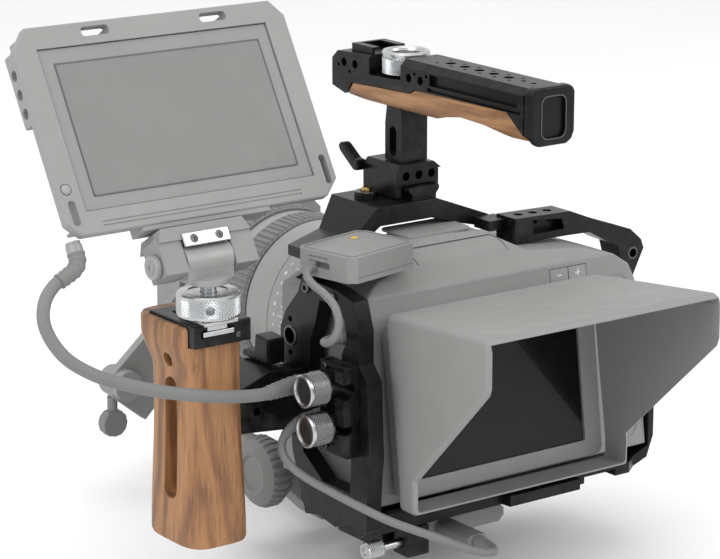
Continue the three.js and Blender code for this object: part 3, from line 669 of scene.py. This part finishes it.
def camera_details():
    refined("camera_rear_cover", "camera_back", ROOT, PALE, 0.8)
    refined("sensor_board", "sensor_board_detail", ROOT, BOARD, 0.3)
    chips = [block(x, x + w, 55.6, 58.2, z, z + h) for x, z, w, h in (
        (-64, 30, 14, 14), (-46, 28, 10, 6), (-62, 56, 9, 18), (14, 34, 16, 12), (20, 60, 10, 20),
        (14, 88, 22, 8))]
    chips = grouped(*chips)
    finish_piece(bevel(chips, 0.4, 2), "sensor_board_chips", ROOT, CELL)
    refined("camera_battery", "battery_case", ROOT, CELL, 2.2, segments=4)
    refined("media_door", "media_door_panel", "media_door", PALE, 0.7)
    pull = bevel(prism("x", rounded(34, 40, 48, 66, 2), 93.6, 94.3), 0.3, 2)
    finish_piece(smooth(pull), "media_door_pull", "media_door", PALE_DARK)
    button = lathe("z", [(0, 117.6), (5, 117.6), (5, 123.6), (4.5, 124.4), (3.6, 124.5), (0, 124.1)],
                   (66, 74, 0), 48)
    finish_piece(smooth(button), "record_button_cap", "record_button", PALE_LIGHT,
                 ["record_button"])
    for node, x, plus in (("nd_filter_down_button", 34.6, False), ("nd_filter_up_button", 47.2, True)):
        refined(node, node.replace("_filter", "") + "_cap", node, PALE_LIGHT, 0.5)
        y = 21.6 + 3.5 * math.tan(SLANT)
        bars = [block(x + 4.4, x + 7.8, y - 0.12, y + 0.3, 112.35, 113.05)]
        if plus:
            bars.append(block(x + 5.75, x + 6.45, y - 0.3, y + 0.5, 111, 114.4))
        sign = grouped(*bars)
        finish_piece(bevel(sign, 0.06, 1), node.replace("_filter", "") + "_sign", node, MARK)


def screen_parts():
    glass_cut = leaning(prism("y", rounded(-55.35, 55.35, 0, 62.3, 1.2), -3, 3))
    plate = leaning(flatten(prism("y", rounded(-67, 67, -9, 79, 5), -1.2, 7.6)))
    bevel(plate, 0.8, 2)
    cut(plate, glass_cut)
    finish_piece(smooth(plate), "screen_bezel", "screen", PALE, ["screen_frame"])
    glass = leaning(bevel(prism("y", rounded(-55, 55, 0.35, 61.95, 1), 0, 2.6), 0.2, 2))
    finish_piece(smooth(glass), "screen_pane", "screen", SCREEN, ["screen_glass"])


def hood():
    side = [
        (-2.5, 13), (-15, 13.2), (-17.8, 14.4), (-18, 28), (-17.4, 31.6), (-76, 89.4), (-80.6, 94),
        (-82, 98), (-82, 116), (-80.6, 120.4), (-77, 122), (8, 114.5), (11, 110), (-1.4, 27),
    ]
    shell = flatten(prism("x", side, -85, 57))
    bevel(shell, 3.2, 4, 70)
    cavity = prism("x", [(-120, 15.4), (12, 15.4), (24, 108.6), (6, 112.1), (-100, 121.4)], -82.6, 54.6)
    cut(shell, common(cavity, prism("y", rounded(-82.6, 54.6, 15.4, 140, 2.4), -130, 40)))
    seam = prism("x", [(-78.6, 97), (-77.8, 97), (-77.8, 116.4), (4, 109.6), (4, 110.4), (-78.6, 117.4)],
                 -82.9, 54.9)
    cut(shell, seam)
    bevel(shell, 0.4, 2, 40)
    for vertex in shell.data.vertices:
        vertex.co.x -= math.copysign(1, vertex.co.x - AXIS_X * MM) * vertex.co.y * HOOD_FLARE
    smooth(shell, 34)
    finish_piece(shell, "hood_shell", "screen", PALE, ["screen_hood"])


def lens():
    centre = (AXIS_X, 0, AXIS_Z)
    barrel = [
        (26, 96), (33, 96), (33.5, 96.6), (33.5, 102), (34.5, 104), (36, 108), (39, 113), (42.4, 118),
        (45.4, 122.6), (46.4, 126), (46.9, 128.6), (46.3, 129), (46.3, 129.8), (47, 130.2), (47.5, 134),
        (47.5, 150), (47.1, 150.4), (47.1, 151.2), (47.5, 151.6), (47.5, 171.6), (47.1, 172),
        (LENS_CORE, 172), (LENS_CORE, 190.6), (47.1, 190.6), (47.5, 191), (47.5, 198.6), (47.1, 199),
        (LENS_CORE, 199), (LENS_CORE, 217.6), (48.1, 217.6), (48.5, 218), (48.5, 233.4), (48, 234),
        (40.5, 234), (39.8, 233.2), (39, 220), (37.5, 150), (26, 110), (26, 96),
    ]
    obj = smooth(lathe("y", barrel, centre, 128), 30)
    finish_piece(obj, "lens_tube", ROOT, PALE_METAL, ["lens_barrel"])

    def ribbed(node, name, low, high, outer, count, body):
        def wave(angle, r, h):
            if r < outer - 0.5:
                return r
            phase = (angle * count / (2 * math.pi)) % 1.0
            return r - (RIB_DEPTH if phase < RIB_SHARE else 0.0)
        profile = [(LENS_CORE + 0.3, low), (outer - 1, low), (outer - 0.6, low + 0.5),
                   (outer - 0.4, low + 1.6), (outer, low + 1.7), (outer, high - 1.7),
                   (outer - 0.4, high - 1.6), (outer - 0.6, high - 0.5), (outer - 1, high),
                   (LENS_CORE + 0.3, high), (LENS_CORE + 0.3, low)]
        ring = smooth(lathe("y", profile, centre, count * 6, wave), 30)
        finish_piece(ring, name, body, PALE_RUBBER, [node])

    ribbed("focus_ring", "focus_ring_ribs", 172.4, 190.2, 49, 84, "focus_ring")
    ribbed("zoom_ring", "zoom_ring_ribs", 199.4, 217.2, 49.7, 84, "zoom_ring")

    def around(mark, angle):
        turn = Matrix.Rotation(-(math.radians(angle) - math.pi / 2), 4, "Y")
        mark.data.transform(Matrix.Translation(Vector(centre) * MM) @ turn)
        return mark

    marks = []
    for k in range(26):
        long = 5.2 if k % 4 == 0 else (3.4 if k % 2 == 0 else 2.2)
        marks.append(around(block(-0.22, 0.22, 136, 136 + long, 47.3, 47.62), 118 + k * 3.4))
    for k in range(12):
        high = 145.3 + (0.9 if k % 3 == 0 else 0)
        marks.append(around(block(-1.0, 1.0, 144.4, high, 47.3, 47.62), 122 + k * 7.2))
    finish_piece(grouped(*marks), "lens_scale", ROOT, MARK)
    element = lathe("y", [(0, 216), (37, 216), (37, 219.6), (34, 221), (26, 223), (17, 224.2), (8, 224.9),
                          (0, 225)], centre, 96)
    finish_piece(smooth(element), "lens_element", ROOT, GLASS, ["lens_front_element"])
    ring = lathe("y", [(26, 92.3), (33, 92.3), (33.4, 92.8), (33.4, 95.6), (26, 95.6), (26, 92.3)],
                 centre, 96)
    finish_piece(smooth(ring), "lens_mount_ring", ROOT, PALE_METAL)


def cage():
    refined("cage_left_frame", "cage_left", ROOT, BLACK, 0.8)
    refined("cage_base_plate", "cage_base", ROOT, BLACK, 0.8)
    refined("cage_top_bridge", "cage_bridge", ROOT, BLACK, 0.8)
    refined("cage_top_arm", "cage_arm", ROOT, BLACK, 0.9)
    for k, (y, z) in enumerate(((50, 123), (27, 122.6))):
        screw((-104, y, z), "x", 2.9, -2.4, f"cage_screw_{k}")
    ring = lathe("y", [(2.6, 43.7), (3.4, 43.7), (3.6, 43.9), (3.6, 44.4), (2.6, 44.4), (2.6, 43.7)],
                 (112, 0, 110), 32)
    finish_piece(smooth(ring), "cage_ear_ring", ROOT, DARK_STEEL)
    ring = lathe("x", [(4.4, -105.5), (5.4, -105.5), (5.6, -105.2), (5.6, -104.8), (4.4, -104.8),
                       (4.4, -105.5)], (0, 65, 94), 32)
    finish_piece(smooth(ring), "cage_port_ring", ROOT, DARK_STEEL)


def knurled(axis, profile, centre, radius, count, depth, low, step):
    """A turned piece whose widest stretch carries rows of small points, each row set off from the next."""
    sides = 2 * count

    def wave(angle, r, h):
        if abs(r - radius) > 0.02:
            return r
        return r - depth * ((round(angle * sides / (2 * math.pi)) + round((h - low) / step)) % 2)
    obj = lathe(axis, profile, centre, sides, wave)
    modifier = obj.modifiers.new("split", "TRIANGULATE")
    modifier.quad_method = "SHORTEST_DIAGONAL"
    return smooth(evaluated(obj), 12)


def steps(low, high, count):
    """Evenly spaced heights, both ends included."""
    return [low + (high - low) * i / count for i in range(count + 1)]


def top_handle():
    x0, x1 = AXIS_X - 14, AXIS_X + 14
    cuts = [rod("x", 1.0, x0 - 1, x0 + 3, (0, y, z), 16)
            for y, z in ((119, 216.5), (129, 219), (61, 223.8), (51, 224))]
    cuts += [rod("z", 1.1, 228.6, 232, (x, y, 0), 16)
             for y in (54, 42, 30, 18, 6, -6) for x in (AXIS_X - 4.6, AXIS_X + 4.6)]
    cuts += [rod("z", 1.5, 227, 232, (AXIS_X, y, 0), 20) for y in (-12, -20)]
    cuts += [prism("y", [(x0 - 1, 216.2), (x0 + 1.4, 216.8), (x0 + 1.4, 218), (x0 - 1, 218.6)], -27, 50)]
    refined("top_handle_frame", "handle_frame", "top_handle", BLACK, 0.7, cuts)
    wood = copy_of("top_handle_wood")
    soft = prism("y", rounded(x0 + 0.6, x1 - 0.6, 201.2, 230, 7, 7), -60, 140)
    common(wood, soft)
    flatten(wood)
    bevel(wood, 0.6, 2, 40)
    finish_piece(smooth(wood, 40), "handle_wood", "top_handle", OAK, ["top_handle_wood"])
    cap = prism("y", [
        (x0 + 5, 200.8), (x1 - 5, 200.8), (x1 - 1.6, 203), (x1, 207), (x1, 227.4), (x1 - 1.4, 229.8),
        (x1 - 4, 231), (x0 + 4, 231), (x0 + 1.4, 229.8), (x0, 227.4), (x0, 207), (x0 + 1.6, 203),
    ], -36, -29.3)
    bevel(cap, 1.2, 3)
    cut(cap, prism("y", rounded(x0 + 6, x1 - 6, 204.4, 226.4, 4), -40, -34.2),
        block(x0 - 1, x1 + 1, -33, -28, 199, 206.4))
    finish_piece(smooth(cap), "handle_end_cap", "top_handle", BLACK, ["top_handle_end_cap"])
    rim = cut(prism("y", rounded(x0 + 5.8, x1 - 5.8, 204.2, 226.6, 4.2), -36.2, -35.4),
              prism("y", rounded(x0 + 6.4, x1 - 6.4, 204.8, 226, 3.8), -38, -33))
    finish_piece(smooth(rim), "handle_end_rim", "top_handle", DARK_STEEL)
    refined("top_handle_stem", "handle_stem", "top_handle", BLACK, 0.7)
    profile = [(5.4, 219.2), (12.2, 219.2), (12.6, 219.6)]
    profile += [(12.8, h) for h in steps(219.9, 227.8, 10)]
    profile += [(12.2, 228.2), (13, 228.8), (13, 230.6), (12.2, 231.5), (10.6, 231.6), (9.8, 230.8),
                (9.2, 229.4), (5.4, 229), (5.4, 219.2)]
    wheel = knurled("z", profile, (AXIS_X, 87, 0), 12.8, 50, 0.45, 219.9, 7.9 / 10)
    finish_piece(wheel, "handle_lock_knob", "handle_lock_wheel", STEEL,
                 ["top_handle_lock_wheel"])
    centre = lathe("z", [(0, 228), (5.2, 228), (9, 229.2), (9, 229.6), (5, 229.4), (4.8, 228.8),
                         (0, 228.8)], (AXIS_X, 87, 0), 48)
    finish_piece(smooth(centre), "handle_lock_centre", "handle_lock_wheel", BLACK_DEEP)


def clamp():
    refined("handle_clamp_body", "clamp_body", "top_handle", BLACK, 0.8)
    refined("handle_clamp_jaw", "clamp_jaw", "handle_jaw", BLACK, 0.8)
    refined("handle_clamp_lever", "clamp_lever", "handle_lever", BLACK, 1.1, segments=3)
    pin = lathe("z", [(0, 150.6), (2.1, 150.6), (2.1, 156), (2.9, 156.4), (2.9, 158.2), (2.5, 158.8),
                      (0, 158.8)], (-36.5, 92, 0), 36)
    finish_piece(smooth(pin), "safety_pin_brass", "safety_pin", BRASS, ["handle_safety_pin"])
    ring = lathe("z", [(3.4, 156.1), (6, 156.1), (6.2, 156.5), (6, 156.9), (3.4, 156.9), (3.4, 156.1)],
                 (-36.5, 92, 0), 36)
    finish_piece(smooth(ring), "safety_pin_boss", ROOT, DARK_STEEL)


def side_grip():
    x, y, half_x, half_y, height = -167.6, 58.0, 18.0, 23.5, 117.0
    bm = bmesh.new()
    rings = []
    count = 64
    levels = [0, 0.8, 2.4] + [2.4 + (113 - 2.4) * i / 40 for i in range(1, 41)] + [115.4, 116.6, 117]
    for z in levels:
        up = z / height
        flare = min(1.0, max(0.0, up - 0.76) * 6)
        ease = flare * flare * (3 - 2 * flare)
        waist = 0.99 + 0.05 * math.cos(math.pi * min(1.0, up * 1.6))
        round_off = 0.0
        if z < 2.4:
            round_off = 2.4 - math.sqrt(max(0.0, 2.4 ** 2 - (2.4 - z) ** 2))
        if z > 115.4:
            round_off = max(round_off, 0.9 * (z - 115.4) / 1.6)
        ring = []
        for k in range(count):
            angle = 2 * math.pi * k / count
            c, s = math.cos(angle), math.sin(angle)
            power = 0.52
            px = math.copysign(abs(c) ** power, c) * (half_x * waist - round_off)
            py = math.copysign(abs(s) ** power, s) * (half_y * waist - round_off)
            px -= 3.5 * ease if px < 0 else 0
            py += 5.5 * ease if py > 0 else 0
            ring.append(bm.verts.new(Vector((x + px, y + py, z)) * MM))
        rings.append(ring)
    for lower, upper in zip(rings, rings[1:]):
        for k in range(count):
            j = (k + 1) % count
            bm.faces.new((lower[k], lower[j], upper[j], upper[k]))
    bm.faces.new(rings[0])
    bm.faces.new(rings[-1])
    grip = from_bmesh("grip", bm)
    slot = prism("x", rounded(50, 61, 24, 88, 5.2, 8), -205, -178.1)
    oval = prism("x", rounded(52, 59.2, 93.6, 101, 3.2, 8), -205, -179.6)
    seat = prism("z", rounded(-184.6, -149.8, 31, 76.5, 2), 106.5, 125)
    cut(grip, slot, oval, seat, rod("z", 4.4, -2, 110, (x, y, 0), 40))
    bevel(grip, 0.7, 2, 50)
    finish_piece(smooth(grip, 38), "grip_wood", ROOT, WALNUT, ["side_handle_grip"])
    bolt = lathe("z", [(0, -0.5), (2, -0.5), (2.2, 1.2), (3.4, 1.2), (3.6, -0.5), (4, -0.2), (4, 106),
                       (0, 106)], (x, y, 0), 36)
    finish_piece(smooth(bolt), "grip_bolt", ROOT, STEEL, ["side_handle_bolt"])
    refined("side_handle_top_cap", "grip_cap", ROOT, BLACK, 0.7)
    screw((-158, 33.5, 111), "y", 1.5, -0.5, "grip_cap_screw")
    refined("side_clamp_body", "side_clamp", ROOT, BLACK, 1.0, segments=3)
    refined("side_clamp_lever", "side_clamp_arm", "side_lever", BLACK, 1.2, segments=3)


def cable_clamp():
    cuts = [block(-114, -112.2, 3, 28, z, z + 0.9) for z in (49, 52, 66, 69, 72, 86, 89)]
    refined("cable_clamp_body", "cord_clamp", ROOT, BLACK, 0.6, cuts)
    for which, y, z in (("upper", 17, 80), ("lower", 15, 59.5)):
        profile = [(0, -128.6), (3, -128.7), (6.4, -129.9), (7.0, -130.8), (7.8, -131), (8.5, -130.4),
                   (8.5, -129.4), (8.1, -129)]
        profile += [(8.6, h) for h in steps(-128.7, -119, 12)]
        profile += [(8.1, -118.6), (8, -117.6), (4, -117.4), (4, -116.4), (0, -116.4)]
        knob = knurled("x", profile, (0, y, z), 8.6, 33, 0.45, -128.7, 9.7 / 12)
        finish_piece(knob, f"cord_clamp_knob_{which}", f"cable_knob_{which}", KNURL,
                     [f"cable_clamp_knob_{which}"])
        face = lathe("x", [(0, -128.9), (5.9, -129.9), (6.2, -130.2), (5.9, -129.5), (0, -128.4)],
                     (0, y, z), 48)
        finish_piece(smooth(face), f"cord_clamp_face_{which}", f"cable_knob_{which}", DARK_STEEL)
        rim = lathe("x", [(6.6, -130.2), (7.1, -131), (7.9, -131.1), (8.65, -130.5), (8.65, -129.3),
                          (6.6, -129.3), (6.6, -130.2)], (0, y, z), 96)
        finish_piece(smooth(rim), f"cord_clamp_rim_{which}", f"cable_knob_{which}", STEEL)
    for k, z in enumerate((47, 69.8, 89.4)):
        screw((-113, 22, z), "x", 1.9, -1.3, f"cord_clamp_screw_{k}")


def monitor_mount():
    refined("monitor_mount_foot", "mount_foot", ROOT, STEEL, 0.5)
    profile = [(4.4, 121.2), (15.2, 121.2), (15.9, 121.8)]
    profile += [(16.4, h) for h in steps(123.2, 131.4, 10)]
    profile += [(15.9, 132.8), (15.2, 133.5), (11, 133.5), (10.6, 133), (4.4, 133), (4.4, 121.2)]
    ring = knurled("z", profile, (-170, 42, 0), 16.4, 62, 0.4, 123.2, 8.2 / 10)
    hole = rod("y", 2.4, -20, -10, (0, 0, 127.2), 32)
    hole.data.transform(Matrix.Translation(Vector((-170, 42, 0)) * MM) @ Matrix.Rotation(-0.52, 4, "Z"))
    cut(ring, hole)
    finish_piece(ring, "mount_ring_knurl", "mount_ring", STEEL, ["monitor_mount_ring"])
    head = copy_of("monitor_swivel_head")
    flatten(head)
    bevel(head, 0.7, 2, 40)
    finish_piece(smooth(head, 42), "swivel_head", "monitor_swivel", PALE_METAL,
                 ["monitor_swivel_head"])
    bolt = lathe("x", [(0, -199.2), (1.2, -199.2), (1.3, -200.9), (3.1, -201.1), (3.5, -200.7),
                       (3.7, -200.2), (5.6, -200.2), (6.2, -199.6), (6.2, -197.6), (0, -197.6)],
                 (0, 47, 148.4), 64)
    finish_piece(smooth(bolt), "swivel_bolt", "monitor_swivel", PALE_LIGHT)


def monitor():
    left, right, bottom, top = -71.0, 90.5, 20.5, 130.0
    front, depth = -4.3, 22.0
    refined("monitor_tilt_bracket", "tilt_bracket", "monitor", PALE, 2.0, segments=4)
    insert = bevel(tilted(block(-13.6, 13.6, -10.2, -8.7, 5.2, 12.4)), 0.6, 3)
    holes = [tilted(rod("y", 2.3, -11, -8, (x, 0, 8.8), 40)) for x in (-7.4, 7.4)]
    finish_piece(smooth(cut(insert, *holes)), "tilt_bracket_insert", "monitor", STEEL)
    for k, x in enumerate((-7.4, 7.4)):
        plug = tilted(lathe("y", [(0, -9.2), (0.9, -9.2), (1.0, -9.7), (2.1, -9.8), (2.1, -8.9),
                                  (0, -8.9)], (x, 0, 8.8), 32))
        finish_piece(smooth(plug), f"tilt_bracket_screw_{k}", "monitor", DARK_STEEL)
    outline = [(left + 7, bottom), (right - 9, bottom), (right, bottom + 9), (right, top - 9),
               (right - 7, top), (left + 9, top), (left, top - 11), (left, bottom + 7)]
    frame = bevel(prism("y", outline, front, front + 5.5), 1.1, 3)
    backs = [bevel(block(*sizes), 0.7, 3) for sizes in (
        (left + 0.2, left + 9, front + 1, front + 12, top - 49, top - 11),
        (left + 6, right - 6, front + 1, front + 14, bottom + 4, top - 4),
        (-30, 46, front + 0.8, front + 13.8, bottom - 2.4, bottom + 6))]
    slots = [prism("y", rounded(*sizes, 1.8), front - 1, front + 16) for sizes in (
        (-31, -15, 122, 127), (39, 55, 122, 127), (83, 87, 27, 43), (left + 4, left + 8.4, 26, 39))]
    holes = [rod("x", 2.8, left - 1, left + 2.6, (0, front + 7, top - 22 - 10 * k), 32) for k in range(3)]
    window = block(left + 12.5, right - 13, front - 1, front + 20, bottom + 12, top - 12)
    lines = [block(left + 20, right - 24, front - 1, front + 0.4, bottom + z, bottom + z + 0.7)
             for z in (3.4, 5.4)]
    button_hole = rod("y", 3, front - 1, front + 3.4, (left + 5.4, 0, 45), 40)
    cut(join(frame, *backs), window, button_hole, *slots, *holes, *lines)
    finish_piece(smooth(tilted(frame), 40), "monitor_frame", "monitor", PALE_LIGHT,
                 ["monitor_cage"])
    case = block(left + 12.8, right - 13.3, front + 1, front + depth, bottom + 12.3, top - 12.3)
    case = bevel(case, 0.4, 2)
    cut(case, block(left + 20, right - 20, front - 1, front + 1.6, 39.5, 110))
    finish_piece(tilted(case), "monitor_case", "monitor", PALE, ["monitor_body"])
    button = tilted(lathe("y", [(0, front - 0.1), (1.9, front - 0.5), (2.6, front - 0.2),
                                (2.6, front + 2), (0, front + 2)], (left + 5.4, 0, 45), 36))
    finish_piece(smooth(button), "monitor_button_cap", "monitor_power_button", PALE_METAL,
                 ["monitor_power_button"])
    pane = prism("y", rounded(left + 20.4, right - 20.4, 39.9, 109.6, 1.2), front + 0.9, front + 1.6)
    pane = tilted(bevel(pane, 0.15, 2))
    finish_piece(smooth(pane), "monitor_pane", "monitor", PALE_DARK)
    line = cut(prism("y", rounded(left + 20.1, right - 20.1, 39.6, 109.9, 1.4), front + 0.7, front + 1.1),
               prism("y", rounded(left + 20.8, right - 20.8, 40.3, 109.2, 1.1), front, front + 3))
    finish_piece(tilted(line), "monitor_pane_edge", "monitor", GROOVE)


def receiver():
    turn = Matrix.Translation(RECEIVER_CORNER * MM) @ Matrix.Rotation(RECEIVER_TURN, 4, "Z")

    def turned(obj):
        obj.data.transform(turn)
        return obj
    cuts = [turned(block(-1, 0.7, 17, 30, z, z + 0.7)) for z in (139.8, 142.2)]
    cuts.append(turned(block(-1, 60, -1, 0.5, 134.6, 135)))
    refined("wireless_receiver", "receiver_case", ROOT, PALE, 1.8, cuts, 4)
    dot = turned(lathe("z", [(0, 145.3), (1.9, 145.3), (1.9, 145.9), (1.6, 146.1), (0, 146.1)],
                       (33, 29, 0), 32))
    finish_piece(smooth(dot), "receiver_dot", ROOT, YELLOW)
    lid = cut(prism("z", rounded(2.4, 47.6, 2.4, 37.6, 3), 145.2, 145.8),
              prism("z", rounded(2.8, 47.2, 2.8, 37.2, 2.8), 144, 147))
    finish_piece(turned(lid), "receiver_seam", ROOT, PALE_DARK)


def drive():
    ribs = [block(x, x + 1.1, 18, 60, -15, -13.8) for x in range(-64, -8, 4)]
    refined("ssd_drive", "drive_case", ROOT, PALE_DARK, 1.2, ribs, 3)
    refined("ssd_bracket", "drive_bracket", ROOT, BLACK, 0.8)
    profile = [(0, -98.2), (2.2, -98.2), (2.4, -98.9), (4, -99)]
    profile += [(4.7, h) for h in steps(-98.4, -89.2, 11)]
    profile += [(4.1, -88.6), (2.3, -88.5), (2.3, -63), (0, -63)]
    knob = knurled("x", profile, (0, 7.5, -9.4), 4.7, 18, 0.4, -98.4, 9.2 / 11)
    finish_piece(knob, "drive_thumbscrew", "ssd_screw", STEEL, ["ssd_thumbscrew"])


def front_support():
    block_piece = copy_of("support_rods")
    flatten(block_piece)
    bevel(block_piece, 0.9, 3, 40)
    finish_piece(smooth(block_piece, 40), "rods_and_block", ROOT, PALE_METAL,
                 ["support_rods"])
    refined("follow_focus_body", "follow_focus_case", ROOT, PALE, 1.4, segments=3)

    def wave(angle, r, h):
        phase = (angle * 28 / (2 * math.pi)) % 1.0
        return r - (0.8 if phase < 0.4 and r > 18.8 else 0.0)
    wheel = lathe("x", [
        (0, -94.4), (9, -94.4), (10, -95.6), (12, -96), (15, -94.9), (18.4, -93), (19.2, -92), (20, -90),
        (20, -85), (19, -83.6), (16, -79), (14, -78.4), (0, -78.4),
    ], (0, 117, 2), 168, wave)
    finish_piece(smooth(wheel, 30), "follow_focus_knob", "follow_focus_wheel", PALE_RUBBER,
                 ["follow_focus_wheel"])
    refined("matte_box", "matte_box_frame", ROOT, PALE, 1.2, segments=3)
    stalk = rod("z", 3, 2, 14.6, (-104, 248.4, 0), 32)
    knob = join(stalk, lathe("y", [
        (0, 244.8), (7.6, 244.8), (8.2, 245.4), (8.2, 251.2), (7.6, 251.8), (0, 251.8),
    ], (-104, 0, -1.2), 40, lambda a, r, h: r - (0.7 if math.cos(a * 12) < -0.2 and r > 8 else 0)))
    finish_piece(smooth(knob, 30), "matte_box_thumb_knob", "matte_box_knob", PALE_RUBBER,
                 ["matte_box_lock_knob"])


# ---------- stage ----------
def stage():
    floor = Nodes("studio_floor")
    tint = floor.ramp(floor.noise(3.0), [(0.3, (0.86, 0.86, 0.86, 1)), (0.7, (0.88, 0.88, 0.88, 1))])
    floor.set(Base_Color=tint, Roughness=0.9)
    plane = block(-15000, 15000, -15000, 15000, -60, -42)
    plane.name = "studio_floor"
    plane.data.materials.append(floor.material)
    world = bpy.data.worlds.new("studio")
    world.use_nodes = True
    world.node_tree.nodes["Background"].inputs["Color"].default_value = (1, 1, 1, 1)
    world.node_tree.nodes["Background"].inputs["Strength"].default_value = 0.98
    SCENE.world = world

    def area(name, location, target, size, power):
        data = bpy.data.lights.new(name, "AREA")
        data.shape = "RECTANGLE"
        data.size, data.size_y = size
        data.energy = power
        obj = bpy.data.objects.new(name, data)
        obj.location = location
        obj.rotation_euler = (Vector(target) - Vector(location)).to_track_quat("-Z", "Y").to_euler()
        SCENE.collection.objects.link(obj)

    area("softbox_left", (-1.3, -0.2, 1.1), (-0.05, 0.05, 0.1), (0.9, 0.9), 8.5)
    area("softbox_right", (0.9, -1.1, 1.0), (0, 0.05, 0.1), (0.8, 0.8), 6.5)
    area("softbox_top", (0.0, 0.3, 1.5), (-0.05, 0.05, 0.1), (1.1, 1.1), 6)
    SCENE.view_settings.view_transform = "Standard"


make_camera()
cords()
camera_shell()
camera_details()
screen_parts()
hood()
lens()
cage()
top_handle()
clamp()
side_grip()
cable_clamp()
monitor_mount()
monitor()
receiver()
drive()
front_support()
stage()
